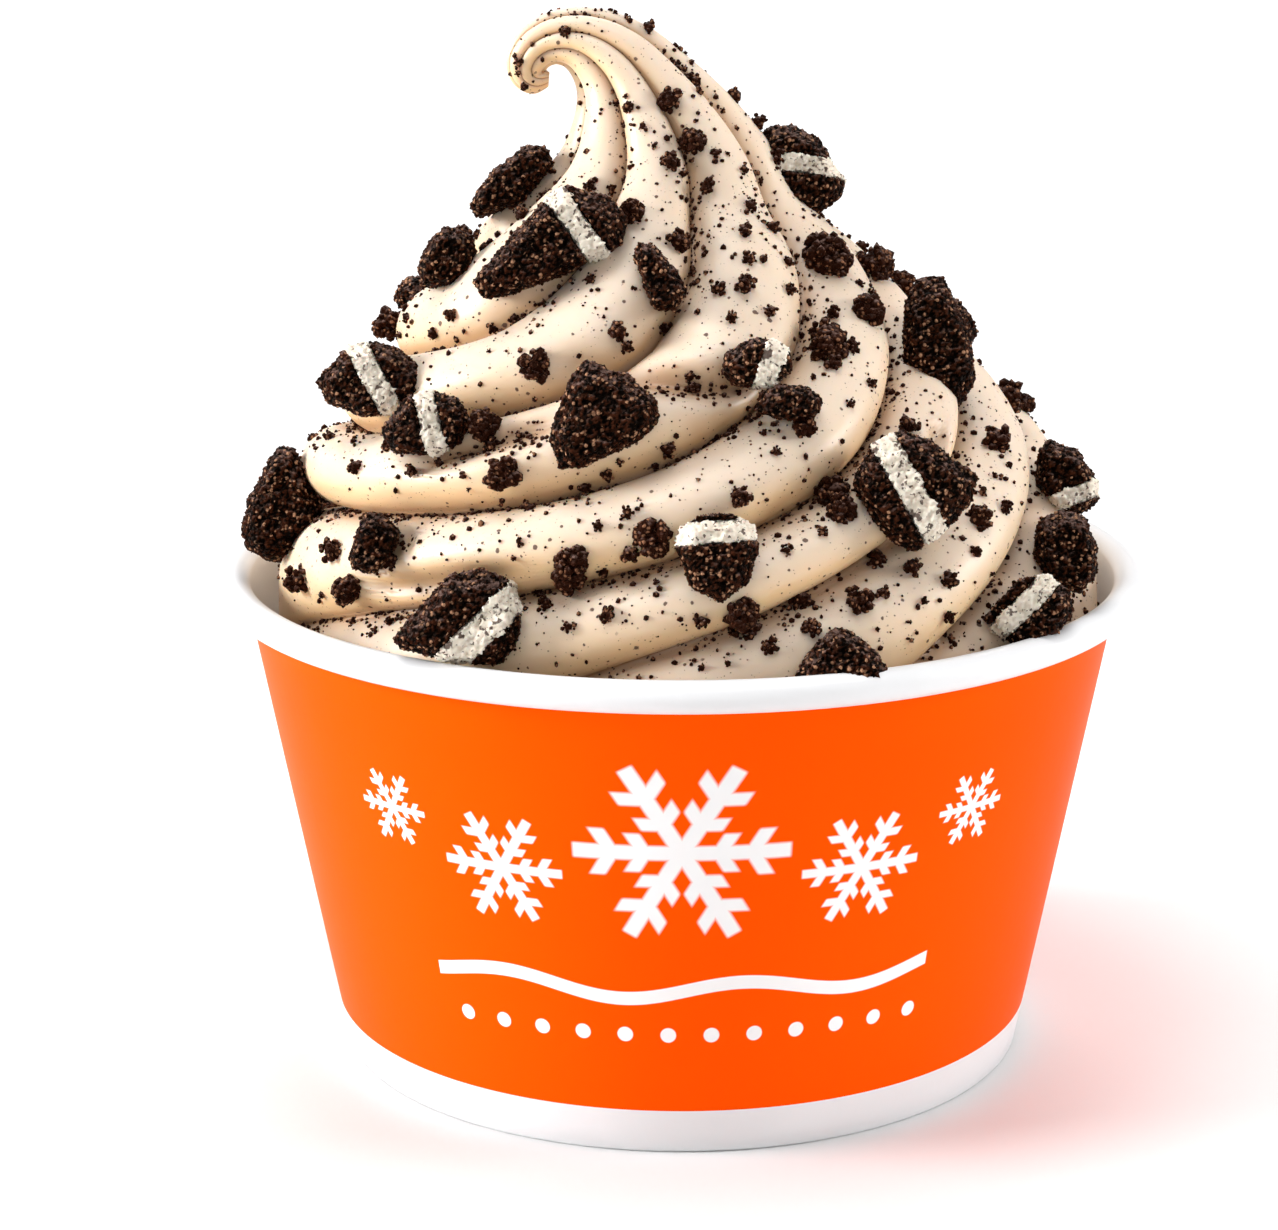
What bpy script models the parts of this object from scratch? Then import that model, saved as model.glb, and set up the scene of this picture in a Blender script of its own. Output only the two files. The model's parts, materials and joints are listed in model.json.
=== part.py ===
# Frozen yogurt cup: a paper cup filled with twisted soft serve under broken sandwich cookies.
# Metres, +Z up, the cup stands on z = 0 around the Z axis and its front looks along -Y.
# Sizes are written in millimetres and scaled once, where a mesh is made.

import math

import bmesh
import bpy
import numpy as np
from mathutils import Vector

MM = 0.001

for leftover in list(bpy.data.objects):
    bpy.data.objects.remove(leftover)


# Shared helpers: materials, meshes and objects

def principled(name, colour, roughness):
    material = bpy.data.materials.new(name)
    material.use_nodes = True
    shader = material.node_tree.nodes["Principled BSDF"]
    shader.inputs["Base Color"].default_value = (*colour, 1.0)
    shader.inputs["Roughness"].default_value = roughness
    shader.inputs["Metallic"].default_value = 0.0
    material.diffuse_color = (*colour, 1.0)
    return material


def add_object(name, mesh, material):
    piece = bpy.data.objects.new(name, mesh)
    bpy.context.scene.collection.objects.link(piece)
    if material is not None:
        mesh.materials.append(material)
    return piece


def mesh_from(name, points, faces):
    mesh = bpy.data.meshes.new(name)
    mesh.from_pydata((np.asarray(points) * MM).tolist(), [], faces)
    mesh.validate()
    return mesh


def hull_mesh(name, points):
    shape = bmesh.new()
    for point in points:
        shape.verts.new(Vector(point) * MM)
    result = bmesh.ops.convex_hull(shape, input=shape.verts)
    inside = [item for item in result["geom_interior"] if isinstance(item, bmesh.types.BMVert)]
    bmesh.ops.delete(shape, geom=inside, context="VERTS")
    bmesh.ops.recalc_face_normals(shape, faces=shape.faces)
    mesh = bpy.data.meshes.new(name)
    shape.to_mesh(mesh)
    shape.free()
    return mesh


def apply_modifiers(piece):
    bpy.context.view_layer.update()
    graph = bpy.context.evaluated_depsgraph_get()
    mesh = bpy.data.meshes.new_from_object(piece.evaluated_get(graph))
    piece.modifiers.clear()
    piece.data = mesh


def keep_largest_body(piece):
    shape = bmesh.new()
    shape.from_mesh(piece.data)
    unseen = set(shape.verts)
    bodies = []
    while unseen:
        reached = [unseen.pop()]
        for vertex in reached:
            for edge in vertex.link_edges:
                other = edge.other_vert(vertex)
                if other in unseen:
                    unseen.remove(other)
                    reached.append(other)
        bodies.append(reached)
    bodies.sort(key=len)
    for scrap in bodies[:-1]:
        bmesh.ops.delete(shape, geom=scrap, context="VERTS")
    shape.to_mesh(piece.data)
    shape.free()


# Paper cup: a printed side wall with a rolled rim and a folded hem, over a set-in base disc

CUP_BASE_RADIUS = 44.1
WALL_FLARE = 0.1915
BOARD = 0.6
GAP = 0.3
BEAD_RADIUS = 1.95
BEAD_RING_RADIUS = 57.05
BEAD_HEIGHT = 61.4
HEM_TOP = 5.6
HEM_OFFSET = 1.8
BASE_DISC_HEIGHT = 5.9
SKIRT_CLEARANCE = 0.1
RIM_TOP = BEAD_HEIGHT + BEAD_RADIUS
BEAD_ANGLES = (160, 115, 75, 40, 5, -35, -80)
TUCK_ANGLE = 40
MERGE_DISTANCE = 0.00005
CUP_SIDES = 48


def wall_radius(height):
    return CUP_BASE_RADIUS + WALL_FLARE * height


def spin_profile(name, profile, material, closed):
    count = len(profile)
    edges = [(index, index + 1) for index in range(count - 1)]
    if closed:
        edges.append((count - 1, 0))
    mesh = bpy.data.meshes.new(name)
    mesh.from_pydata([(radius * MM, 0.0, height * MM) for radius, height in profile], edges, [])
    piece = add_object(name, mesh, material)
    screw = piece.modifiers.new("Screw", "SCREW")
    screw.steps = CUP_SIDES
    screw.render_steps = CUP_SIDES
    screw.use_merge_vertices = True
    screw.merge_threshold = MERGE_DISTANCE
    screw.use_smooth_shade = True
    return piece


def cup_wall_profile():
    # The bead is rolled outwards from the inner face, so the outer leg tucks under it.
    tuck_height = BEAD_HEIGHT - BEAD_RADIUS * math.sin(math.radians(TUCK_ANGLE))
    inner_foot = wall_radius(BOARD) - BOARD
    profile = []
    for angle in BEAD_ANGLES:
        turn = math.radians(angle)
        bead_radius = BEAD_RING_RADIUS + BEAD_RADIUS * math.cos(turn)
        profile.append((bead_radius, BEAD_HEIGHT + BEAD_RADIUS * math.sin(turn)))
    outer_top = BEAD_HEIGHT - BEAD_RADIUS
    profile.append((wall_radius(outer_top), outer_top))
    profile.append((wall_radius(0.0), 0.0))
    profile.append((wall_radius(0.0) - HEM_OFFSET - BOARD, 0.0))
    profile.append((wall_radius(HEM_TOP) - HEM_OFFSET - BOARD, HEM_TOP))
    profile.append((wall_radius(HEM_TOP) - HEM_OFFSET, HEM_TOP))
    profile.append((wall_radius(BOARD) - HEM_OFFSET, BOARD))
    profile.append((inner_foot, BOARD))
    profile.append((wall_radius(tuck_height) - BOARD, tuck_height))
    return profile


def cup_base_profile():
    skirt_outer = BOARD + GAP
    skirt_foot = BOARD + GAP
    disc_top = BASE_DISC_HEIGHT + BOARD
    profile = [(0.0, disc_top)]
    profile.append((wall_radius(disc_top) - skirt_outer - SKIRT_CLEARANCE, disc_top))
    profile.append((wall_radius(skirt_foot) - skirt_outer - SKIRT_CLEARANCE, skirt_foot))
    profile.append((wall_radius(skirt_foot) - skirt_outer - BOARD, skirt_foot))
    profile.append((wall_radius(BASE_DISC_HEIGHT) - skirt_outer - BOARD, BASE_DISC_HEIGHT))
    profile.append((0.0, BASE_DISC_HEIGHT))
    return profile


def build_cup():
    printed = principled("paper_orange", (0.95, 0.16, 0.005), 0.35)
    plain = principled("paper_white", (0.86, 0.86, 0.86), 0.45)
    wall = spin_profile("cup_wall", cup_wall_profile(), printed, True)
    base = spin_profile("cup_base", cup_base_profile(), plain, False)
    return wall, base


# Soft serve: eight ribs twisted up a leaning cone that ends in a crook

# Each station holds the sideways shift, height and radius of the crest line, the depth of the
# grooves between ribs, and the lean of the section in degrees, from the rim to the crook's tip.
STATIONS = (
    (0.2, 54.5, 53.2, 1.5, 0),
    (0.8, 68.0, 51.2, 6.3, 0),
    (-1.0, 81.0, 45.8, 7.0, 0),
    (-2.4, 93.0, 35.4, 6.2, 0),
    (-2.6, 98.0, 30.2, 5.6, 0),
    (-2.9, 105.5, 23.0, 4.6, 0),
    (-3.0, 110.5, 17.5, 3.7, 0),
    (-2.6, 115.5, 13.5, 3.0, 5),
    (-4.2, 120.9, 9.8, 2.3, 13),
    (-6.6, 125.3, 7.0, 1.7, 22),
    (-8.7, 127.6, 5.8, 1.3, 32),
    (-11.3, 129.2, 4.7, 1.0, 46),
    (-14.1, 129.7, 3.9, 0.9, 66),
    (-17.0, 129.0, 3.2, 0.75, 100),
    (-18.9, 127.3, 2.8, 0.6, 136),
    (-19.4, 125.9, 2.5, 0.45, 165),
    (-18.9, 124.5, 2.1, 0.3, 202),
    (-17.6, 124.0, 1.7, 0.2, 240),
    (-16.5, 124.3, 0.9, 0.0, 265),
)
ROWS_BETWEEN = (6, 5, 5, 3, 3, 2, 2, 2, 2, 1, 1, 2, 2, 2, 1, 2, 1, 1)
FIRST_GROOVE = -65
RIB_WIDTHS = (40, 45, 45, 38, 50, 46, 48, 48)
COLUMNS_PER_RIB = 7
RIB_SLOPE = 0.15
RIB_DROOP = math.radians(12)
DROOP_TOP = 118.0
DROOP_RANGE = 20.0
CREST_BLUNTNESS = 2.2
CREST_FULLNESS = 0.62
TWIST_ROUNDS = 30
NECK_HEIGHT = 120.0
FILL_FLOOR = BASE_DISC_HEIGHT + BOARD + GAP

# How many degrees the ribs turn for each millimetre of height, slowly at the rim, fastest in the
# middle and not at all from the neck up. The ribs' azimuths hold at the height TWIST_START.
TURN_HEIGHTS = (50, 68, 80, 98, 114)
TURN_RATES = (2.0, 2.8, 4.2, 4.7, 0.0)
TURN_STEP = 0.25
TWIST_START = 97.0

# The camera in front of the cup, for the places that are read off its picture.
CAMERA_DISTANCE = 450.0
CAMERA_TILT = 15.24
CAMERA_AIM = 55.5
FOCAL_PIXELS = 3484
CUP_AXIS_COLUMN = 682
AIM_ROW = 615
SEARCH_AZIMUTHS = (-100.0, 100.0, 401)
SEARCH_HEIGHTS = (56.0, 118.0, 311)
FRONT_LEANING = 0.02


def smooth_stations():
    # Cubic spans run through the stations, measured along the spine.
    rows = np.array(STATIONS, dtype=float)
    steps = np.hypot(np.diff(rows[:, 0]), np.diff(rows[:, 1]))
    length = np.concatenate([[0.0], np.cumsum(steps)])
    slope = np.gradient(rows, length, axis=0)
    spans = []
    for index, count in enumerate(ROWS_BETWEEN):
        part = (np.arange(count) / count)[:, None]
        reach = steps[index]
        start = (2 * part**3 - 3 * part**2 + 1) * rows[index]
        start_slope = (part**3 - 2 * part**2 + part) * reach * slope[index]
        end = (3 * part**2 - 2 * part**3) * rows[index + 1]
        end_slope = (part**3 - part**2) * reach * slope[index + 1]
        spans.append(start + start_slope + end + end_slope)
    spans.append(rows[-1:])
    return np.concatenate(spans)


def rib_columns():
    widths = np.array(RIB_WIDTHS, dtype=float)
    share = np.tile(np.arange(COLUMNS_PER_RIB) / COLUMNS_PER_RIB, len(widths))
    start = np.repeat(FIRST_GROOVE + np.cumsum(widths) - widths, COLUMNS_PER_RIB)
    return start + np.repeat(widths, COLUMNS_PER_RIB) * share, share


def twist_at(level):
    # The turn of the ribs at each height is the sum of their rate of turn up to it.
    height = np.arange(TURN_HEIGHTS[0], TURN_HEIGHTS[-1], TURN_STEP)
    turned = np.cumsum(np.interp(height, TURN_HEIGHTS, TURN_RATES)) * TURN_STEP
    return np.interp(level, height, turned) - np.interp(TWIST_START, height, turned)


def swirl_grid(swell):
    # A rib slopes: it sits higher at the front than at the back for the same twist.
    shift, height, radius, relief, lean = smooth_stations().T
    column, share = rib_columns()
    fade = np.clip((DROOP_TOP - height) / DROOP_RANGE, 0.0, 1.0)[:, None]
    azimuth = np.tile(column, (len(height), 1))
    for _ in range(TWIST_ROUNDS):
        level = height[:, None] + RIB_SLOPE * fade * radius[:, None] * np.cos(np.radians(azimuth))
        azimuth = column + twist_at(level)
    turn = np.radians(azimuth)[..., None]
    tilt = np.radians(lean)[:, None, None]
    zero = np.zeros_like(tilt)
    side = np.concatenate([np.cos(tilt), zero, np.sin(tilt)], axis=-1)
    along = np.concatenate([-np.sin(tilt), zero, np.cos(tilt)], axis=-1)
    front = np.array([0.0, -1.0, 0.0])
    radial = np.cos(turn) * front + np.sin(turn) * side
    run = np.hypot(np.gradient(shift), np.gradient(height))
    slant = np.arctan2(-np.gradient(radius), run)[:, None] - RIB_DROOP * fade
    normal = radial * np.cos(slant)[..., None] + along * np.sin(slant)[..., None]
    crest = (1.0 - np.abs(2.0 * share - 1.0) ** CREST_BLUNTNESS) ** CREST_FULLNESS
    spine = np.stack([shift, 0.0 * shift, height], axis=-1)[:, None]
    depth = (relief[:, None] * (1.0 - crest))[..., None]
    points = spine + radial * radius[:, None, None] - normal * depth
    return points + normal * swell, normal


def swirl_mesh(name, swell):
    points, _ = swirl_grid(swell)
    count = points.shape[1]
    facet = math.cos(math.pi / CUP_SIDES)
    turn = np.arctan2(points[0, :, 0], -points[0, :, 1])
    below = []
    for height in (FILL_FLOOR, STATIONS[0][1] - 1.0):
        reach = (wall_radius(height) - BOARD) * facet - GAP + swell
        ring = np.stack([np.sin(turn) * reach, -np.cos(turn) * reach, 0 * turn + height], axis=-1)
        below.append(ring)
    rings = np.concatenate([np.array(below), points])
    faces = [tuple(reversed(range(count)))]
    for row in range(len(rings) - 1):
        for column in range(count):
            here = row * count + column
            right = row * count + (column + 1) % count
            faces.append((here, right, here + count))
            faces.append((right, right + count, here + count))
    top = (len(rings) - 1) * count
    faces.append(tuple(range(top, top + count)))
    return mesh_from(name, rings.reshape(-1, 3), faces)


def seen_place(column, row, lift):
    # The azimuth and height where the camera sees a point lifted off the crest surface, found by
    # trying all of its front. Near its edge the place that is more to the front is kept.
    stations = np.array(STATIONS, dtype=float)
    stations = stations[:int(np.argmax(stations[:, 1] > NECK_HEIGHT)) + 1]
    azimuth, height = np.meshgrid(np.linspace(*SEARCH_AZIMUTHS), np.linspace(*SEARCH_HEIGHTS))
    radius = np.interp(height, stations[:, 1], stations[:, 2])
    slope = np.interp(height + 1.0, stations[:, 1], stations[:, 2]) - radius
    level_lift = lift / np.hypot(1.0, slope)
    turn = np.radians(azimuth)
    tilt = math.radians(CAMERA_TILT)
    east = np.interp(height, stations[:, 1], stations[:, 0]) + np.sin(turn) * (radius + level_lift)
    away = CAMERA_DISTANCE * math.cos(tilt) - np.cos(turn) * (radius + level_lift)
    rise = height - slope * level_lift - CAMERA_AIM - CAMERA_DISTANCE * math.sin(tilt)
    depth = away * math.cos(tilt) - rise * math.sin(tilt)
    above = away * math.sin(tilt) + rise * math.cos(tilt)
    seen_column = CUP_AXIS_COLUMN + FOCAL_PIXELS * east / depth
    seen_row = AIM_ROW - FOCAL_PIXELS * above / depth
    miss = np.hypot(seen_column - column, seen_row - row) + FRONT_LEANING * np.abs(azimuth)
    best = np.unravel_index(int(miss.argmin()), miss.shape)
    return float(azimuth[best]), float(height[best])


def crest_point(azimuth, height, lift):
    # A place on the crest surface with its tangents to the right and up the slope, and normal.
    rows = smooth_stations()
    last = int(np.argmax(rows[:, 1] > NECK_HEIGHT))
    shift = np.interp(height, rows[:last, 1], rows[:last, 0])
    radius = np.interp(height, rows[:last, 1], rows[:last, 2])
    higher = np.interp(height + 1.0, rows[:last, 1], rows[:last, 2])
    turn = math.radians(azimuth)
    out = Vector((math.sin(turn), -math.cos(turn), 0.0))
    right = Vector((math.cos(turn), math.sin(turn), 0.0))
    up = (Vector((0.0, 0.0, 1.0)) + out * (higher - radius)).normalized()
    normal = right.cross(up)
    place = Vector((shift, 0.0, height)) + out * radius + normal * lift
    return place, right, up, normal


# Cookie chunks: broken pieces of a two-wafer cookie, some still holding their cream layer

# Broken outlines as they are seen from outside, in millimetres to the right and up.
OUTLINES = {
    "slanted_block": (
        (-9.4, -4.4), (-8.0, -6.6), (-3.7, -5.6), (6.0, -1.6), (8.8, 0.2), (9.2, 3.2), (7.4, 5.6),
        (2.4, 7.2), (-0.4, 5.8),
    ),
    "long_block": (
        (-7.0, -0.3), (-5.8, -2.8), (-1.5, -4.5), (3.0, -4.3), (6.3, -1.8), (6.4, 0.8), (3.2, 3.8),
        (0.2, 4.7), (-2.8, 4.2),
    ),
    "small_block": (
        (-5.8, -1.0), (-4.4, -3.2), (0.6, -3.8), (3.8, -2.0), (4.9, 0.6), (3.4, 3.2), (0.4, 4.1),
        (-2.6, 3.6),
    ),
    "broad_block": (
        (-7.7, -2.4), (-6.8, -3.6), (-0.4, -5.3), (4.8, -5.6), (6.5, -3.0), (7.4, 1.2), (6.0, 4.2),
        (2.6, 5.6), (-1.2, 5.0),
    ),
    "round_block": (
        (-4.9, 1.2), (-2.6, -3.6), (0.6, -5.2), (3.5, -2.9), (4.9, 1.0), (4.3, 3.7), (1.7, 5.2),
        (-1.7, 4.9), (-4.0, 3.6),
    ),
    "square_block": (
        (-7.1, 0.6), (-6.5, -1.2), (-2.8, -6.0), (0.0, -7.4), (2.6, -6.2), (6.8, -1.4), (7.4, 1.4),
        (1.8, 5.8), (-1.4, 6.8), (-4.8, 5.4),
    ),
    "tilted_block": (
        (-5.6, -1.2), (-4.6, -3.3), (-1.2, -4.6), (3.1, -3.1), (5.2, -0.6), (4.9, 1.9), (2.5, 4.0),
        (-1.2, 3.4),
    ),
    "leaning_block": (
        (-3.8, -0.6), (-1.9, -3.4), (1.9, -4.4), (4.1, -2.5), (3.8, -0.4), (1.9, 3.2), (-1.9, 5.1),
        (-3.4, 3.8),
    ),
    "end_block": (
        (-5.8, 3.0), (-4.0, -3.2), (-1.9, -5.4), (3.2, -5.4), (5.7, -3.3), (6.1, -1.3), (2.6, 3.9),
        (-0.6, 5.4), (-3.6, 5.2),
    ),
    "flat_block": (
        (-5.1, 0.2), (-3.7, -1.4), (0.4, -1.8), (3.4, 0.2), (3.0, 2.6), (1.2, 4.3), (-1.2, 4.4),
        (-4.2, 2.5),
    ),
    "slab": (
        (-5.4, -2.8), (-4.6, -4.3), (1.3, -2.3), (5.3, 2.2), (4.2, 4.3), (2.0, 4.6), (-2.5, 1.5),
    ),
    "knob": (
        (-4.1, -1.5), (-3.2, -3.6), (0.2, -3.5), (2.6, -1.5), (3.2, 1.3), (1.9, 3.3), (-0.6, 3.7),
        (-2.2, 2.6),
    ),
    "wedge": (
        (-6.7, -2.4), (-5.4, -6.0), (-2.4, -5.5), (3.9, -2.6), (6.3, -0.2), (5.9, 2.1), (2.7, 4.9),
        (-2.4, 6.8), (-3.9, 5.1),
    ),
    "shard": (
        (-5.2, -3.2), (-4.5, -5.8), (-1.9, -7.5), (0.6, -6.2), (4.9, -1.9), (3.4, 3.0), (1.2, 7.0),
        (-0.6, 7.1), (-4.5, 0.6),
    ),
    "pebble": (
        (-3.1, -1.9), (-2.5, -3.4), (0.2, -3.7), (2.7, -0.8), (3.3, 1.2), (0.9, 3.3), (-0.9, 3.3),
    ),
    "peak": (
        (-5.5, -2.3), (-4.6, -4.0), (4.4, -4.0), (5.2, -1.7), (4.1, 0.0), (0.6, 2.9), (-1.2, 3.1),
        (-3.5, 1.2),
    ),
    "cobble": (
        (-3.8, -0.6), (-1.9, -3.8), (1.9, -5.0), (4.0, -2.5), (4.0, 0.6), (2.5, 4.0), (-0.6, 5.2),
        (-3.1, 3.5),
    ),
    "tall_slab": (
        (-4.1, -2.5), (-1.3, -5.7), (2.8, -7.9), (4.9, -4.4), (4.4, 0.6), (2.5, 5.1), (0.6, 8.2),
        (-2.2, 7.9), (-3.8, 5.1),
    ),
    "flake": (
        (-4.1, -1.2), (0.0, -2.2), (3.4, -1.6), (4.1, 0.2), (2.2, 1.8), (-1.0, 2.0), (-3.4, 1.0),
    ),
    "splinter": (
        (-3.1, 2.5), (-2.1, -0.6), (-0.6, -3.7), (1.9, -4.0), (3.3, -1.9), (2.1, 0.6), (-0.6, 3.7),
        (-2.5, 4.3),
    ),
}

# Where the cream layer crosses an outline: the angle of the layer axis, the middle, the width.
CREAM_BANDS = {
    "slanted_block": (35.5, 3.9, 2.8),
    "long_block": (29.5, 0.2, 2.8),
    "small_block": (14.7, 0.2, 2.5),
    "broad_block": (-45.0, 2.9, 3.6),
    "round_block": (95.0, 2.9, 2.7),
    "square_block": (29.4, -0.5, 3.2),
    "tilted_block": (-45.0, -0.6, 2.5),
    "leaning_block": (-70.0, 2.2, 2.2),
    "end_block": (82.0, 0.4, 2.3),
    "flat_block": (-20.0, 0.4, 2.6),
}

# Chunks on the front: name, outline, picture column and row of the middle, lift and depth.
FRONT_CHUNKS = (
    ("cookie_01", "slanted_block", 550, 247, 1.6, 8.4),
    ("cookie_02", "long_block", 378, 380, 1.6, 8.0),
    ("cookie_03", "small_block", 435, 426, 1.0, 7.4),
    ("cookie_04", "broad_block", 462, 618, 2.2, 8.4),
    ("cookie_05", "round_block", 715, 556, 1.8, 7.4),
    ("cookie_06", "square_block", 912, 490, 2.4, 8.4),
    ("cookie_07", "tilted_block", 1027, 607, 1.4, 7.4),
    ("cookie_08", "leaning_block", 1060, 480, 0.8, 8.0),
    ("cookie_09", "end_block", 798, 170, 1.4, 9.0),
    ("cookie_10", "flat_block", 764, 375, 1.0, 6.4),
    ("cookie_11", "slab", 513, 184, 1.2, 9.0),
    ("cookie_12", "knob", 452, 258, 1.2, 7.4),
    ("cookie_13", "wedge", 607, 418, 1.6, 8.0),
    ("cookie_14", "shard", 288, 503, 1.0, 9.4),
    ("cookie_15", "pebble", 376, 540, 1.0, 6.4),
    ("cookie_16", "peak", 840, 655, 1.0, 7.4),
    ("cookie_17", "cobble", 1060, 550, 1.0, 8.0),
    ("cookie_18", "tall_slab", 935, 345, 0.6, 9.0),
    ("cookie_19", "flake", 790, 402, 1.4, 5.0),
    ("cookie_20", "splinter", 660, 278, 0.6, 5.4),
)

# Chunks on the back: name, outline, azimuth, height and lift of the middle, spin and depth.
BACK_CHUNKS = (
    ("cookie_21", "long_block", 148, 97.0, 1.4, 30, 8.0),
    ("cookie_22", "square_block", 206, 80.0, 1.6, -20, 8.4),
    ("cookie_23", "tilted_block", 128, 71.0, 1.2, 40, 7.4),
    ("cookie_24", "cobble", 118, 88.0, 1.2, 25, 7.4),
    ("cookie_25", "pebble", 178, 108.0, 1.0, 60, 6.4),
    ("cookie_26", "wedge", 166, 82.0, 1.2, 75, 8.0),
    ("cookie_27", "knob", 184, 67.0, 0.8, 0, 7.4),
    ("cookie_28", "slab", 234, 92.0, 1.2, -40, 7.4),
    ("cookie_29", "splinter", 226, 105.5, 1.0, 30, 6.0),
    ("cookie_30", "shard", 244, 68.5, 0.8, 90, 8.0),
)
BACK_TILT = 32.0
BEVEL_SHARE = 0.27
FACE_SHARE = 0.72
FACE_DROP = 0.5
ROOT_SHARE = 0.88


def placed_chunks():
    # Each chunk with the frame that it is drawn in. Those on the front face the camera.
    chunks = []
    for name, outline_name, column, row, lift, depth in FRONT_CHUNKS:
        azimuth, height = seen_place(column, row, lift)
        frame = chunk_frame(azimuth, height, lift, 0.0, CAMERA_TILT)
        chunks.append((name, outline_name, frame, 0, depth))
    for name, outline_name, azimuth, height, lift, spin, depth in BACK_CHUNKS:
        frame = chunk_frame(azimuth, height, lift, azimuth, BACK_TILT)
        chunks.append((name, outline_name, frame, spin, depth))
    return chunks


def chunk_frame(azimuth, height, lift, facing, lean):
    # Its middle lies on the crest; its outline is drawn square to the way it faces.
    place, _, _, _ = crest_point(azimuth, height, lift)
    turn = math.radians(facing)
    tilt = math.radians(lean)
    level = Vector((math.sin(turn), -math.cos(turn), 0.0))
    right = Vector((math.cos(turn), math.sin(turn), 0.0))
    outward = level * math.cos(tilt) + Vector((0.0, 0.0, math.sin(tilt)))
    return place, right, outward.cross(right), outward


def spun_outline(name, spin):
    cosine = math.cos(math.radians(spin))
    sine = math.sin(math.radians(spin))
    return [(x * cosine - y * sine, x * sine + y * cosine) for x, y in OUTLINES[name]]


def clip_outline(outline, direction, limit):
    # Keeps the part of a convex outline whose reach along the direction is below the limit.
    kept = []
    for index, here in enumerate(outline):
        after = outline[(index + 1) % len(outline)]
        reach_here = here[0] * direction[0] + here[1] * direction[1] - limit
        reach_after = after[0] * direction[0] + after[1] * direction[1] - limit
        if reach_here <= 0.0:
            kept.append(here)
        if reach_here * reach_after < 0.0:
            share = reach_here / (reach_here - reach_after)
            kept.append(tuple(a + (b - a) * share for a, b in zip(here, after)))
    return kept


def level_outlines(outline, depth):
    # The same outline at the root, at the shoulder and, drawn in and lowered, on the outer face.
    middle_x = sum(x for x, _ in outline) / len(outline)
    middle_y = sum(y for _, y in outline) / len(outline)
    face = 0.5 * depth
    shoulder = face - BEVEL_SHARE * depth
    levels = []
    steps = ((-face, ROOT_SHARE, 0.0), (shoulder, 1.0, 0.0), (face, FACE_SHARE, FACE_DROP))
    for offset, share, drop in steps:
        ring = []
        for x, y in outline:
            ring.append((middle_x + (x - middle_x) * share, middle_y + (y - middle_y) * share - drop))
        levels.append((offset, ring))
    return levels


def chunk_parts(name, outline_name, spin, depth):
    # A plain chunk is one part; a layered one is cut across into wafer, cream and wafer.
    levels = level_outlines(spun_outline(outline_name, spin), depth)
    if outline_name not in CREAM_BANDS:
        return [(name, False, levels)]
    angle, middle, width = CREAM_BANDS[outline_name]
    turn = math.radians(angle + spin)
    along = (math.cos(turn), math.sin(turn))
    against = (-along[0], -along[1])
    near = middle - 0.5 * width
    far = middle + 0.5 * width
    parts = []
    for suffix, is_cream, low, high in (
        ("_lower", False, None, near),
        ("_cream", True, near + GAP, far - GAP),
        ("_upper", False, far, None),
    ):
        cut_levels = []
        for offset, ring in levels:
            if high is not None:
                ring = clip_outline(ring, along, high)
            if low is not None:
                ring = clip_outline(ring, against, -low)
            cut_levels.append((offset, ring))
        parts.append((name + suffix, is_cream, cut_levels))
    return parts


def part_points(frame, levels):
    place, right, up, outward = frame
    points = []
    for offset, ring in levels:
        points.extend(place + right * corner[0] + up * corner[1] + outward * offset for corner in ring)
    return points


KEEPOUT_INNER = BEAD_RING_RADIUS - BEAD_RADIUS - 0.5
KEEPOUT_WIDTH = 12.0
KEEPOUT_FOOT = 45.0
KEEPOUT_TAPER = 1.5


def rim_keepout():
    # The chunks stop short of the rolled rim and the wall below it.
    profile = [(KEEPOUT_INNER, RIM_TOP + GAP)]
    profile.append((KEEPOUT_INNER + KEEPOUT_WIDTH, RIM_TOP + GAP))
    profile.append((KEEPOUT_INNER + KEEPOUT_WIDTH, KEEPOUT_FOOT))
    profile.append((KEEPOUT_INNER - KEEPOUT_TAPER, KEEPOUT_FOOT))
    return spin_profile("rim_keepout", profile, None, True)


def cut_with(piece, cutter):
    cut = piece.modifiers.new("Cut", "BOOLEAN")
    cut.operation = "DIFFERENCE"
    cut.solver = "MANIFOLD"
    cut.object = cutter


def build_chunks():
    dark = principled("cookie_dark", (0.022, 0.011, 0.008), 0.75)
    white = principled("cream_white", (0.86, 0.80, 0.68), 0.6)
    pieces = []
    for name, outline_name, frame, spin, depth in placed_chunks():
        for part_name, is_cream, levels in chunk_parts(name, outline_name, spin, depth):
            mesh = hull_mesh(part_name, part_points(frame, levels))
            pieces.append(add_object(part_name, mesh, white if is_cream else dark))
    clearance = add_object("swirl_clearance", swirl_mesh("swirl_clearance", GAP), None)
    keepout = rim_keepout()
    apply_modifiers(keepout)
    for piece in pieces:
        cut_with(piece, clearance)
        cut_with(piece, keepout)
        apply_modifiers(piece)
        keep_largest_body(piece)
    bpy.data.objects.remove(clearance)
    bpy.data.objects.remove(keepout)
    return pieces


# Crumbs: small lumps of the same cookie, fused to the soft serve they are stuck in

# Larger lumps on the front: picture column and row, and size.
FRONT_LUMPS = (
    (830, 258, 5.0),
    (868, 258, 5.4),
    (505, 478, 4.6),
    (633, 214, 3.6),
    (1012, 400, 5.0),
    (824, 340, 4.8),
    (865, 312, 4.0),
    (652, 537, 5.0),
    (745, 630, 4.2),
    (488, 415, 4.4),
    (570, 575, 4.4),
    (835, 495, 4.0),
    (385, 325, 4.6),
    (345, 592, 3.8),
)

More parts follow.
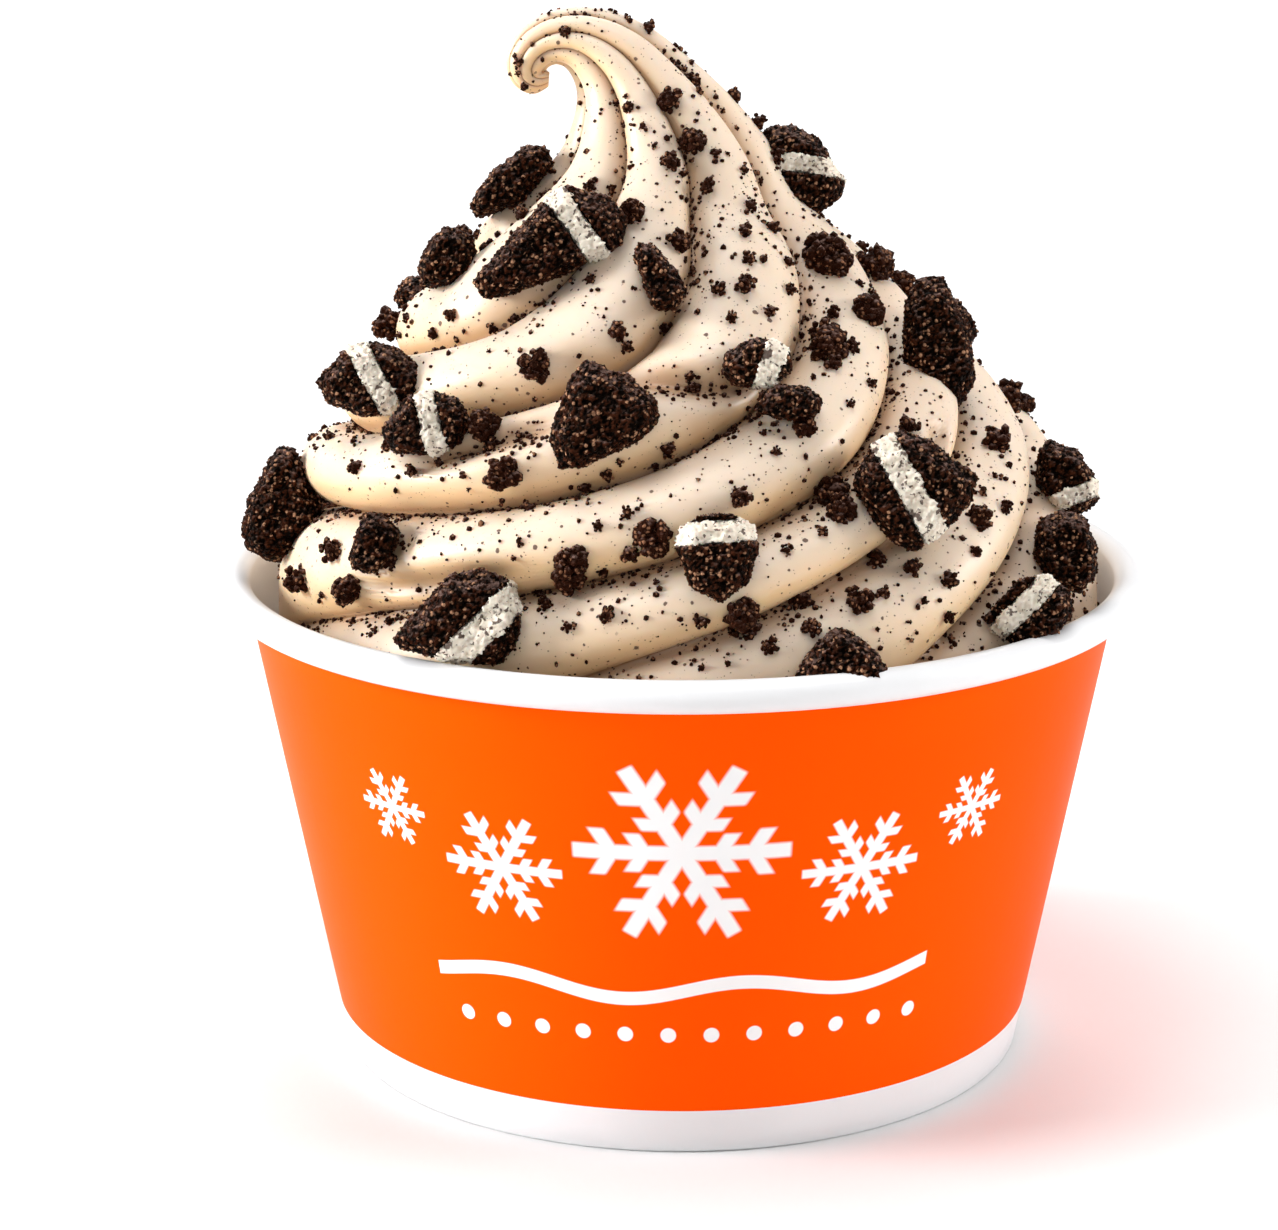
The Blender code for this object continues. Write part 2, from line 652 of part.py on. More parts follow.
# Larger lumps on the back, and one under the crook: azimuth, height and size.
BACK_LUMPS = (
    (20, 118.0, 3.4),
    (150, 76.0, 5.0),
    (196, 90.0, 4.6),
    (215, 72.0, 4.4),
    (250, 82.0, 5.0),
    (160, 104.0, 4.2),
    (110, 96.0, 4.4),
    (262, 103.0, 4.2),
)
CRUMB_COUNT = 34
CRUMB_SIZES = (2.6, 3.4)
CRUMB_SPACING = 5.5
CRUMB_RISE = 0.15
LUMP_RISE = 0.2
CHUNK_MARGIN = 0.8
HIGHEST_ROW = 0.97
LOWEST_ROW = 0.03
ROW_LEANING = 1.3
GROOVE_COLUMNS = 2
TIP_CRUMB_SHARE = 0.45
TIP_ROWS = 0.73
MOST_TRIES = 4000
HULL_POINTS = 13


def grain_points(draw, centre, size):
    # Points spread over a ball by the golden angle, then strayed to a broken crumb.
    golden = math.pi * (3.0 - math.sqrt(5.0))
    points = []
    for index in range(HULL_POINTS):
        level = 1.0 - 2.0 * (index + 0.5) / HULL_POINTS
        ring = math.sqrt(1.0 - level * level)
        angle = golden * index
        direction = Vector((ring * math.cos(angle), ring * math.sin(angle), level))
        points.append(centre + direction * 0.5 * size * draw.uniform(0.8, 1.1))
    return points


def crumb_places(draw, chunks):
    points, normals = swirl_grid(0.0)
    rows, columns, _ = points.shape
    centres = []
    for piece in chunks:
        corners = [Vector(vertex.co) / MM for vertex in piece.data.vertices]
        centre = sum(corners, Vector()) / len(corners)
        reach = max((corner - centre).length for corner in corners)
        centres.append((centre, reach + CHUNK_MARGIN))
    places = []
    lumps = [(*seen_place(column, row, 0.0), size) for column, row, size in FRONT_LUMPS]
    lumps.extend(BACK_LUMPS)
    for azimuth, height, size in lumps:
        target, _, _, _ = crest_point(azimuth, height, 0.0)
        distance = np.linalg.norm(points - np.array(target), axis=-1)
        row, column = np.unravel_index(int(distance.argmin()), distance.shape)
        rise = Vector(normals[row, column]) * LUMP_RISE * size
        places.append((Vector(points[row, column]) + rise, size))
    tries = 0
    while len(places) < len(lumps) + CRUMB_COUNT and tries < MOST_TRIES:
        tries += 1
        row = int(rows * draw.uniform(LOWEST_ROW, HIGHEST_ROW) ** ROW_LEANING)
        column = int(draw.integers(columns))
        size = draw.uniform(*CRUMB_SIZES) * min(1.0, TIP_CRUMB_SHARE + (rows - row) / (TIP_ROWS * rows))
        place = Vector(points[row, column]) + Vector(normals[row, column]) * CRUMB_RISE * size
        if column % COLUMNS_PER_RIB < GROOVE_COLUMNS:
            continue
        if any((place - other).length < CRUMB_SPACING for other, _ in places):
            continue
        places.append((place, size))
    clear = []
    for place, size in places:
        half = 0.55 * size
        inner_wall = wall_radius(place.z) - BOARD - GAP
        near_wall = place.z < RIM_TOP + half and place.xy.length + half > inner_wall
        near_chunk = any((place - centre).length < reach + half for centre, reach in centres)
        if not near_wall and not near_chunk:
            clear.append((place, size))
    return clear


def build_froyo(chunks):
    yogurt = principled("yogurt", (0.80, 0.66, 0.49), 0.45)
    froyo = add_object("froyo", swirl_mesh("froyo", 0.0), yogurt)
    draw = np.random.default_rng(11)
    group = bpy.data.collections.new("crumbs")
    bpy.context.scene.collection.children.link(group)
    for index, (place, size) in enumerate(crumb_places(draw, chunks)):
        mesh = hull_mesh("crumb", grain_points(draw, place, size))
        group.objects.link(bpy.data.objects.new("crumb", mesh))
    fuse = froyo.modifiers.new("Fuse crumbs", "BOOLEAN")
    fuse.operation = "UNION"
    fuse.solver = "MANIFOLD"
    fuse.operand_type = "COLLECTION"
    fuse.collection = group
    apply_modifiers(froyo)
    for crumb in list(group.objects):
        bpy.data.objects.remove(crumb)
    bpy.data.collections.remove(group)
    keep_largest_body(froyo)
    froyo.data.shade_smooth()
    return froyo


build_cup()
cookie_pieces = build_chunks()
build_froyo(cookie_pieces)
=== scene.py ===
import json
import math

import bmesh
import bpy
import numpy as np
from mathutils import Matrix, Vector, bvhtree, noise

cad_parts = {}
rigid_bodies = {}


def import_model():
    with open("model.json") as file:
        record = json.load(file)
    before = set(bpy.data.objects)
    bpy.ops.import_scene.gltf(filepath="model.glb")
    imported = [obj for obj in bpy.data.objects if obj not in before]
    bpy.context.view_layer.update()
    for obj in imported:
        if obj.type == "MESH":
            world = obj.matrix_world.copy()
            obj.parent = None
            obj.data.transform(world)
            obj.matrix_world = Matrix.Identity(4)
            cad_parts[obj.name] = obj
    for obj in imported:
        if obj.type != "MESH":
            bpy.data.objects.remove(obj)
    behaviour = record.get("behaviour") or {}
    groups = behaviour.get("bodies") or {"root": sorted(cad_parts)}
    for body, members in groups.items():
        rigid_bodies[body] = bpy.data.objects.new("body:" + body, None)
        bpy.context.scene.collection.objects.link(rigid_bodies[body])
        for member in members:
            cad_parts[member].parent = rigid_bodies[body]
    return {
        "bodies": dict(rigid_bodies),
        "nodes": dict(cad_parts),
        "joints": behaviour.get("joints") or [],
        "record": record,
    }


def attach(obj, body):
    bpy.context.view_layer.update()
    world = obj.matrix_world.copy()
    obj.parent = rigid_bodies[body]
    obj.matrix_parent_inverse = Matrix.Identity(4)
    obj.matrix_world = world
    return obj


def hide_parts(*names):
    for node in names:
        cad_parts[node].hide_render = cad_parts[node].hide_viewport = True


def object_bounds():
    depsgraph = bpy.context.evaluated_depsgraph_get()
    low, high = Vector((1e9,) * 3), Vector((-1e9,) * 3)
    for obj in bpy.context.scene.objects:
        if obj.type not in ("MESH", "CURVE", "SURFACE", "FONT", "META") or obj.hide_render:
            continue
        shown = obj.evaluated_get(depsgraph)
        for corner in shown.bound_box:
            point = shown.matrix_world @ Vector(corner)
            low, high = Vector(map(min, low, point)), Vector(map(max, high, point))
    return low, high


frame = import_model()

MM = 0.001
cad_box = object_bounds()


# Studio: a pale floor under soft light, seen from a little above the rim, as the cup was
# photographed from close by. The floor and the lights only carry the picture.

scene = bpy.context.scene
scene.view_settings.view_transform = "Standard"

FRAME_WIDTH = 1278
FRAME_HEIGHT = 1230
AIM_HEIGHT = 55.5 * MM
CAMERA_DISTANCE = 450 * MM
CAMERA_ELEVATION = math.radians(15.24)
FOCAL_PIXELS = 3484
CUP_AXIS_COLUMN = 682
WHITE = (1.0, 1.0, 1.0)
ROOM_GLOW = 0.22
CEILING_GLOW = 1.6
CEILING_SPREAD = math.radians(60)

camera_data = bpy.data.cameras.new("camera")
camera_data.sensor_width = 36.0
camera_data.lens = FOCAL_PIXELS * camera_data.sensor_width / FRAME_WIDTH
camera_data.shift_x = (FRAME_WIDTH / 2 - CUP_AXIS_COLUMN) / FRAME_WIDTH
camera = bpy.data.objects.new("camera", camera_data)
camera.location = (
    0.0,
    -CAMERA_DISTANCE * math.cos(CAMERA_ELEVATION),
    AIM_HEIGHT + CAMERA_DISTANCE * math.sin(CAMERA_ELEVATION),
)
camera.rotation_euler = (math.radians(90) - CAMERA_ELEVATION, 0.0, 0.0)
scene.collection.objects.link(camera)
scene.camera = camera


def softbox(name, place, size, power, target=(0.0, 0.0, 0.07)):
    data = bpy.data.lights.new(name, "AREA")
    data.shape = "DISK"
    data.size = size
    data.energy = power
    data.color = WHITE
    light = bpy.data.objects.new(name, data)
    light.location = place
    aim = Vector(target) - Vector(place)
    light.rotation_euler = aim.to_track_quat("-Z", "Y").to_euler()
    scene.collection.objects.link(light)


softbox("left", place=(-1.2, -0.15, 0.42), size=0.6, power=24.0)
softbox("right", place=(1.2, -0.05, 0.4), size=0.5, power=11.0)
softbox("top", place=(-0.25, -0.1, 1.2), size=0.5, power=3.0)
softbox("front", place=(0.1, -1.4, 0.35), size=0.8, power=3.6)
softbox("floor_glow", place=(0.0, 1.5, 1.3), size=1.2, power=22.0, target=(0.0, 1.7, 0.0))

world = bpy.data.worlds.new("studio")
world.use_nodes = True
world.node_tree.nodes["Background"].inputs["Color"].default_value = (*WHITE, 1.0)
world.node_tree.nodes["Background"].inputs["Strength"].default_value = ROOM_GLOW
scene.world = world

ceiling_data = bpy.data.lights.new("ceiling", "SUN")
ceiling_data.energy = CEILING_GLOW
ceiling_data.angle = CEILING_SPREAD
scene.collection.objects.link(bpy.data.objects.new("ceiling", ceiling_data))


class Wire:
    # One socket of a finish, so that shader maths reads as plain arithmetic.
    def __init__(self, finish, socket):
        self.finish = finish
        self.socket = socket

    def maths(self, operation, *others):
        values = dict(enumerate((self, *others)))
        return self.finish.node("ShaderNodeMath", {"operation": operation}, values)

    def __add__(self, other):
        return self.maths("ADD", other)

    __radd__ = __add__

    def __sub__(self, other):
        return self.maths("SUBTRACT", other)

    def __rsub__(self, other):
        return self.finish.node("ShaderNodeMath", {"operation": "SUBTRACT"}, {0: other, 1: self})

    def __mul__(self, other):
        return self.maths("MULTIPLY", other)

    __rmul__ = __mul__

    def __truediv__(self, other):
        return self.maths("DIVIDE", other)

    def __abs__(self):
        return self.maths("ABSOLUTE")

    def __or__(self, other):
        return self.maths("MAXIMUM", other)

    def over(self, edge, softness):
        # 0 below the edge, 1 above it, with a short ramp between.
        ramp = (self - edge) / softness + 0.5
        return self.finish.node("ShaderNodeClamp", {}, {"Value": ramp})


class Finish:
    # One material: its uniform sockets are set at once, and what varies is fed in afterwards.
    def __init__(self, name, **uniform):
        self.material = bpy.data.materials.new(name)
        self.material.use_nodes = True
        self.tree = self.material.node_tree
        self.shader = self.tree.nodes["Principled BSDF"]
        for key, value in uniform.items():
            self.shader.inputs[key.replace("_", " ")].default_value = value
        self.place = self.node("ShaderNodeTexCoord", {}, {}, "Object")

    def join(self, value, socket):
        if isinstance(value, Wire):
            self.tree.links.new(value.socket, socket)
        elif socket.type == "RGBA":
            socket.default_value = (*value, 1.0)
        else:
            socket.default_value = value

    def node(self, kind, settings, values, output=0):
        made = self.tree.nodes.new(kind)
        for key, value in settings.items():
            setattr(made, key, value)
        for key, value in values.items():
            self.join(value, made.inputs[key])
        if isinstance(output, tuple):
            return [Wire(self, made.outputs[key]) for key in output]
        return Wire(self, made.outputs[output])

    def feed(self, **sockets):
        for key, value in sockets.items():
            self.join(value, self.shader.inputs[key.replace("_", " ")])

    def blend(self, share, first, second):
        return self.node("ShaderNodeMix", {"data_type": "RGBA"}, {0: share, 6: first, 7: second}, 2)

    def mottle(self, scale, detail):
        values = {"Vector": self.place, "Scale": scale, "Detail": detail}
        return self.node("ShaderNodeTexNoise", {}, values, "Fac")

    def cells(self, place, scale):
        # A scatter of cells: the distance to each one's middle and two random values for it.
        values = {"Vector": place, "Scale": scale}
        distance, colour = self.node("ShaderNodeTexVoronoi", {}, values, ("Distance", "Color"))
        return distance, *self.node("ShaderNodeSeparateColor", {}, {0: colour}, (0, 1))

    def painted(self, name):
        return self.node("ShaderNodeAttribute", {"attribute_name": name}, {}, "Fac")

    def relief(self, height, distance, strength):
        values = {"Height": height, "Distance": distance, "Strength": strength}
        return self.node("ShaderNodeBump", {}, values, "Normal")


def show(name, mesh, *finishes):
    piece = bpy.data.objects.new(name, mesh)
    scene.collection.objects.link(piece)
    for finish in finishes:
        mesh.materials.append(finish.material)
    return piece


floor_paper = Finish("floor_paper", Roughness=0.7)
floor_tone = floor_paper.blend(floor_paper.mottle(40.0, 3.0), (0.72, 0.72, 0.72), (0.75, 0.75, 0.75))
floor_paper.feed(Base_Color=floor_tone)

FLOOR_REACH = 6.0
floor_mesh = bpy.data.meshes.new("floor")
corners = [(-FLOOR_REACH, -FLOOR_REACH, 0.0), (FLOOR_REACH, -FLOOR_REACH, 0.0)]
corners += [(FLOOR_REACH, FLOOR_REACH, 0.0), (-FLOOR_REACH, FLOOR_REACH, 0.0)]
floor_mesh.from_pydata(corners, [], [(0, 1, 2, 3)])
floor = show("floor", floor_mesh, floor_paper)


# Cup wall: one blank of coated paperboard, lapped and sealed at the back, its top edge rolled
# outwards into a bead and its foot folded under into a hem. The print stops short of both.

BOARD = 0.6
CUP_BASE_RADIUS = 44.1
WALL_FLARE = 0.1915
BEAD_RADIUS = 1.95
BEAD_RING_RADIUS = 57.05
BEAD_HEIGHT = 61.4
BEAD_ANGLES = range(165, -105, -10)
TUCK_ANGLE = math.radians(40)
UNDER_BEAD = (0.15, 0.5)
WALL_LEVELS = (50.0, 40.0, 30.0, 20.0, 12.0)
MIDDLE_LEVEL = 30.0
BAND_LEVELS = (3.0, 0.35, 0.0)
FOOT_ROUNDING = 0.3
HEM_TOP = 5.6
HEM_OFFSET = 1.8
PRINT_FOOT = 5.9
CUP_SIDES = 240
LAP_WIDTH = 9.0
LAP_STEP = 0.35


def wall_radius(height):
    return CUP_BASE_RADIUS + WALL_FLARE * height


def smooth_mesh(name, points, faces):
    mesh = bpy.data.meshes.new(name)
    mesh.from_pydata((points.reshape(-1, 3) * MM).tolist(), [], faces)
    mesh.shade_smooth()
    return mesh


def lathe_mesh(name, profile, tags, sides, closed, swell=None):
    # Turns (radius, height) points about Z; each span of the profile keeps its material tag.
    angle = np.arange(sides) * 2.0 * math.pi / sides
    profile = np.asarray(profile)
    radius = np.repeat(profile[:, :1], sides, axis=1)
    if swell is not None:
        radius = radius + swell(angle)[None, :] * np.asarray(tags)[:, None]
    height = np.repeat(profile[:, 1:], sides, axis=1)
    points = np.stack([radius * np.sin(angle), -radius * np.cos(angle), height], axis=-1)
    faces = []
    spans = len(profile) if closed else len(profile) - 1
    for row in range(spans):
        here = row * sides
        after = (row + 1) % len(profile) * sides
        for side in range(sides):
            right = (side + 1) % sides
            faces.append((here + side, after + side, after + right, here + right))
    return smooth_mesh(name, points, faces)


bead_foot = BEAD_HEIGHT - BEAD_RADIUS
tuck_height = BEAD_HEIGHT - BEAD_RADIUS * math.sin(TUCK_ANGLE)
wall_profile = []
wall_tags = []
for angle in BEAD_ANGLES:
    turn = math.radians(angle)
    bead = BEAD_RING_RADIUS + BEAD_RADIUS * math.cos(turn)
    wall_profile.append((bead, BEAD_HEIGHT + BEAD_RADIUS * math.sin(turn)))
    wall_tags.append(0)
printed_levels = [bead_foot - below for below in UNDER_BEAD] + [*WALL_LEVELS, PRINT_FOOT]
for height in printed_levels:
    wall_profile.append((wall_radius(height), height))
    wall_tags.append(1)
for height in BAND_LEVELS:
    rounding = FOOT_ROUNDING if height == 0.0 else 0.0
    wall_profile.append((wall_radius(height) - rounding, height))
    wall_tags.append(1)
for offset, height in ((HEM_OFFSET + BOARD, 0.0), (HEM_OFFSET + BOARD, HEM_TOP), (HEM_OFFSET, HEM_TOP)):
    wall_profile.append((wall_radius(height) - offset, height))
    wall_tags.append(0)
for offset, height in ((HEM_OFFSET, BOARD), (BOARD, BOARD), (BOARD, MIDDLE_LEVEL), (BOARD, tuck_height)):
    wall_profile.append((wall_radius(height) - offset, height))
    wall_tags.append(0)


def lap_swell(angle):
    # The outer end of the blank stands proud over the lap, and drops at its cut edge.
    away = (angle - math.pi) * wall_radius(MIDDLE_LEVEL)
    rise = np.clip((away + LAP_WIDTH) / LAP_WIDTH, 0.0, 1.0)
    return LAP_STEP * np.where(away <= 0.0, rise * rise * (3.0 - 2.0 * rise), 0.0)


wall_mesh = lathe_mesh("cup_wall_board", wall_profile, wall_tags, CUP_SIDES, True, lap_swell)


def paper_relief(paper):
    return paper.relief(paper.mottle(900.0, 3.0) * 0.25 + paper.mottle(45.0, 1.0), 0.00012, 0.5)


def white_board(name, roughness):
    paper = Finish(name, Roughness=roughness, Specular_IOR_Level=0.4)
    tone = paper.blend(paper.mottle(120.0, 3.0), (0.72, 0.72, 0.73), (0.75, 0.75, 0.76))
    paper.feed(Base_Color=tone, Normal=paper_relief(paper))
    return paper


# Snow crystals: sizes as shares of an arm, then each one's place and arm in metres.
ARM_HALF = 0.075
BRANCH_HALF = 0.065
BRANCHES = ((0.34, 0.2), (0.64, 0.24))
CRYSTAL_EDGE = 0.03
MIDDLE_CRYSTAL = (0.0, 0.041, 0.0125)
SIDE_CRYSTALS = ((0.0215, 0.0375, 0.0075), (0.0365, 0.0425, 0.005))

# The ribbon and the row of dots below the crystals.
RIBBON_HEIGHT = 0.0225
RIBBON_HALF = 0.0009
RIBBON_WAVE = 0.0011
RIBBON_PITCH = 210.0
DOTS_HEIGHT = 0.0165
DOT_PITCH = 0.0055
DOT_RADIUS = 0.001
PRINT_REACH = 0.033
PRINT_RADIUS = 0.0505


def snow_crystal(across, up, centre, size):
    # Six arms with two pairs of side branches, folded into one sixth of a turn.
    x = (across - centre[0]) / size
    y = (up - centre[1]) / size
    reach = (x * x + y * y).maths("SQRT")
    sixth = math.radians(60)
    bearing = y.maths("ARCTAN2", x) + math.radians(390)
    folded = abs(bearing.maths("MODULO", sixth) - sixth / 2)
    along = reach * folded.maths("COSINE")
    aside = reach * folded.maths("SINE")
    crystal = (ARM_HALF - aside).over(0.0, CRYSTAL_EDGE) * (1.0 - along).over(0.0, CRYSTAL_EDGE)
    for root, length in BRANCHES:
        slant = (along - root) * math.sin(sixth) - aside * math.cos(sixth)
        branch = (BRANCH_HALF - abs(slant)).over(0.0, CRYSTAL_EDGE)
        crystal = crystal | branch * (length - aside).over(0.0, CRYSTAL_EDGE)
    return crystal


INK_DEEP = (0.96, 0.076, 0.0006)
INK_WARM = (0.99, 0.086, 0.0006)
PRINT_WHITE = (0.86, 0.86, 0.86)
PRINT_EDGE = 0.00012
CUT_EDGE_HALF = 0.0002
CUT_EDGE_AWAY = 0.0006

printed_board = Finish(
    "printed_board", Roughness=0.4, Specular_IOR_Level=0.015, Specular_Tint=(1.0, 0.42, 0.12, 1.0)
)
east, south, up = printed_board.node("ShaderNodeSeparateXYZ", {}, {0: printed_board.place}, (0, 1, 2))
across = east.maths("ARCTAN2", south * -1.0) * PRINT_RADIUS
motif = snow_crystal(across, up, MIDDLE_CRYSTAL[:2], MIDDLE_CRYSTAL[2])
for side in (-1.0, 1.0):
    for away, height, arm in SIDE_CRYSTALS:
        motif = motif | snow_crystal(across, up, (side * away, height), arm)
wave = abs((across * RIBBON_PITCH).maths("SINE") * RIBBON_WAVE + RIBBON_HEIGHT - up)
ribbon = (RIBBON_HALF - wave).over(0.0, PRINT_EDGE)
dot_across = abs((across + 1.0).maths("MODULO", DOT_PITCH) - DOT_PITCH / 2)
dot_up = up - DOTS_HEIGHT
dot_reach = (dot_across * dot_across + dot_up * dot_up).maths("SQRT")
dots = (DOT_RADIUS - dot_reach).over(0.0, PRINT_EDGE)
motif = motif | (ribbon | dots) * (PRINT_REACH - abs(across)).over(0.0, PRINT_EDGE)
ink = printed_board.blend(printed_board.mottle(35.0, 2.0), INK_DEEP, INK_WARM)
cut_edge = (CUT_EDGE_HALF - abs(east + CUT_EDGE_AWAY)).over(0.0, PRINT_EDGE) * south.over(0.0, 0.001)
printed_board.feed(
    Base_Color=printed_board.blend(motif | cut_edge, ink, PRINT_WHITE),
    Normal=paper_relief(printed_board),
)

rim_board = white_board("rim_board", 0.3)
cup_wall = show("cup_wall_board", wall_mesh, rim_board, printed_board)
first_printed = wall_tags.index(1)
printed_rows = range(first_printed, first_printed + len(printed_levels) - 1)
for face in wall_mesh.polygons:
    face.material_index = 1 if face.index // CUP_SIDES in printed_rows else 0
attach(cup_wall, "root")
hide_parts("cup_wall")


# Cup base: a disc of plain board pressed up into the foot of the wall, its edge turned down
# into a skirt that the wall's hem folds round and is sealed to.

SKIRT_GAP = 0.9
SKIRT_CLEARANCE = 0.1
SKIRT_BEND = 0.8
DISC_RINGS = (0.01, 15.0, 30.0, 40.0)
BASE_SIDES = 96

disc_top = PRINT_FOOT + BOARD
base_profile = [(radius, disc_top) for radius in DISC_RINGS]
for offset, height in (
    (SKIRT_CLEARANCE, disc_top),
    (SKIRT_CLEARANCE, SKIRT_GAP),
    (BOARD, SKIRT_GAP),
    (BOARD + SKIRT_BEND, PRINT_FOOT),
):
    base_profile.append((wall_radius(height) - SKIRT_GAP - offset, height))
base_profile += [(radius, PRINT_FOOT) for radius in reversed(DISC_RINGS)]
base_mesh = lathe_mesh("cup_base_board", base_profile, [0] * len(base_profile), BASE_SIDES, True)
cup_base = show("cup_base_board", base_mesh, white_board("base_board", 0.55))
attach(cup_base, "root")
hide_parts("cup_base")


# Frozen yogurt: drawn from a star nozzle in eight ribs that twist together while the cup is
# turned, each layer lying on the last, and pulled off sideways into a thin curled crook.

# Each station holds the sideways shift, height and radius of the crest line, the depth of the
# grooves between ribs, and the lean of the section in degrees, from the rim to the crook's tip.
STATIONS = (
    (0.2, 54.5, 53.2, 1.5, 0),
    (0.8, 68.0, 51.2, 6.3, 0),
    (-1.0, 81.0, 45.8, 7.0, 0),
    (-2.4, 93.0, 35.4, 6.2, 0),
    (-2.6, 98.0, 30.2, 5.6, 0),
    (-2.9, 105.5, 23.0, 4.6, 0),
    (-3.0, 110.5, 17.5, 3.7, 0),
    (-2.6, 115.5, 13.5, 3.0, 5),
    (-4.2, 120.9, 9.8, 2.3, 13),
    (-6.6, 125.3, 7.0, 1.7, 22),
    (-8.7, 127.6, 5.8, 1.3, 32),
    (-11.3, 129.2, 4.7, 1.0, 46),
    (-14.1, 129.7, 3.9, 0.9, 66),
    (-17.0, 129.0, 3.2, 0.75, 100),
    (-18.9, 127.3, 2.8, 0.6, 136),
    (-19.4, 125.9, 2.5, 0.45, 165),
    (-18.9, 124.5, 2.1, 0.3, 202),
    (-17.6, 124.0, 1.7, 0.2, 240),
    (-16.5, 124.3, 0.9, 0.0, 265),
)
ROWS_BETWEEN = (6, 5, 5, 3, 3, 2, 2, 2, 2, 1, 1, 2, 2, 2, 1, 2, 1, 1)
ROW_DETAIL = 6
FIRST_GROOVE = -65
RIB_WIDTHS = (40, 45, 45, 38, 50, 46, 48, 48)
COLUMNS_PER_RIB = 24
RIB_SLOPE = 0.15
RIB_DROOP = math.radians(12)
DROOP_TOP = 118.0
DROOP_RANGE = 20.0
CREST_BLUNTNESS = 2.2
CREST_FULLNESS = 0.62
CREASE_SHARPNESS = 2.0
TWIST_ROUNDS = 30
NECK_HEIGHT = 120.0
FILL_FLOOR = PRINT_FOOT + BOARD + 0.3
FILL_GAP = 0.35

# How many degrees the ribs turn for each millimetre of height, slowly at the rim, fastest in the
# middle and not at all from the neck up. The ribs' azimuths hold at the height TWIST_START.
TURN_HEIGHTS = (50, 68, 80, 98, 114)
TURN_RATES = (2.0, 2.8, 4.2, 4.7, 0.0)
TURN_STEP = 0.25
TWIST_START = 97.0

# Where one rib laps over the next: the depth of each fold and a run of picture columns and rows.
FRONT_FOLDS = (
    (2.6, ((800, 366), (712, 383), (640, 373), (550, 362))),
    (2.4, ((577, 412), (500, 435), (440, 452), (410, 462))),
    (2.0, ((410, 529), (386, 550), (370, 574), (371, 589), (430, 585), (540, 570))),
    (2.0, ((946, 417), (942, 452), (865, 480), (806, 504), (756, 525))),
)

# The same on the back, as runs of azimuth and height.
BACK_FOLDS = (
    (2.2, ((150, 92.0), (170, 88.0), (195, 86.5), (215, 84.0))),
    (2.0, ((205, 74.0), (225, 71.0), (245, 68.0))),
)
FOLD_WIDTH = 1.5
FOLD_FULL = 3.0
FOLD_END_SHARE = 0.15
# How far a face must turn down before it is painted in shade, and the range over which the painted shade
# deepens.
LEVEL_FACE = 0.6
UNDERSIDE_SHADE_RANGE = 1.05

# The azimuths and heights tried for a place that is seen in the picture: first, last and count.
SEARCH_AZIMUTHS = (-100.0, 100.0, 401)
SEARCH_HEIGHTS = (56.0, 118.0, 311)
FRONT_LEANING = 0.02


def smooth_stations():
    rows = np.array(STATIONS, dtype=float)
    steps = np.hypot(np.diff(rows[:, 0]), np.diff(rows[:, 1]))
    length = np.concatenate([[0.0], np.cumsum(steps)])
    slope = np.gradient(rows, length, axis=0)
    spans = []
    for index, count in enumerate(ROWS_BETWEEN):
        count = count * ROW_DETAIL
        part = (np.arange(count) / count)[:, None]
        reach = steps[index]
        start = (2 * part**3 - 3 * part**2 + 1) * rows[index]
        start_slope = (part**3 - 2 * part**2 + part) * reach * slope[index]
        end = (3 * part**2 - 2 * part**3) * rows[index + 1]
        end_slope = (part**3 - part**2) * reach * slope[index + 1]
        spans.append(start + start_slope + end + end_slope)
    spans.append(rows[-1:])
    return np.concatenate(spans)


def rib_columns():
    widths = np.array(RIB_WIDTHS, dtype=float)
    share = np.tile(np.arange(COLUMNS_PER_RIB) / COLUMNS_PER_RIB, len(widths))
    start = np.repeat(FIRST_GROOVE + np.cumsum(widths) - widths, COLUMNS_PER_RIB)
    return start + np.repeat(widths, COLUMNS_PER_RIB) * share, share


def seen_place(column, row, lift):
    # The azimuth and height where the camera sees a point lifted off the crest surface, found by
    # trying all of its front. Near its edge the place that is more to the front is kept.
    stations = np.array(STATIONS, dtype=float)
    stations = stations[:int(np.argmax(stations[:, 1] > NECK_HEIGHT)) + 1]
    azimuth, height = np.meshgrid(np.linspace(*SEARCH_AZIMUTHS), np.linspace(*SEARCH_HEIGHTS))
    radius = np.interp(height, stations[:, 1], stations[:, 2])
    slope = np.interp(height + 1.0, stations[:, 1], stations[:, 2]) - radius
    level_lift = lift / np.hypot(1.0, slope)
    turn = np.radians(azimuth)
    distance = CAMERA_DISTANCE / MM
    tilt = CAMERA_ELEVATION
    east = np.interp(height, stations[:, 1], stations[:, 0]) + np.sin(turn) * (radius + level_lift)
    away = distance * math.cos(tilt) - np.cos(turn) * (radius + level_lift)
    rise = height - slope * level_lift - AIM_HEIGHT / MM - distance * math.sin(tilt)
    depth = away * math.cos(tilt) - rise * math.sin(tilt)
    above = away * math.sin(tilt) + rise * math.cos(tilt)
    seen_column = CUP_AXIS_COLUMN + FOCAL_PIXELS * east / depth
    seen_row = FRAME_HEIGHT / 2 - FOCAL_PIXELS * above / depth
    miss = np.hypot(seen_column - column, seen_row - row) + FRONT_LEANING * np.abs(azimuth)
    best = np.unravel_index(int(miss.argmin()), miss.shape)
    return float(azimuth[best]), float(height[best])


def fold_runs():
    runs = list(BACK_FOLDS)
    for fold, picture_points in FRONT_FOLDS:
        runs.append((fold, [seen_place(column, row, 0.0) for column, row in picture_points]))
    return runs


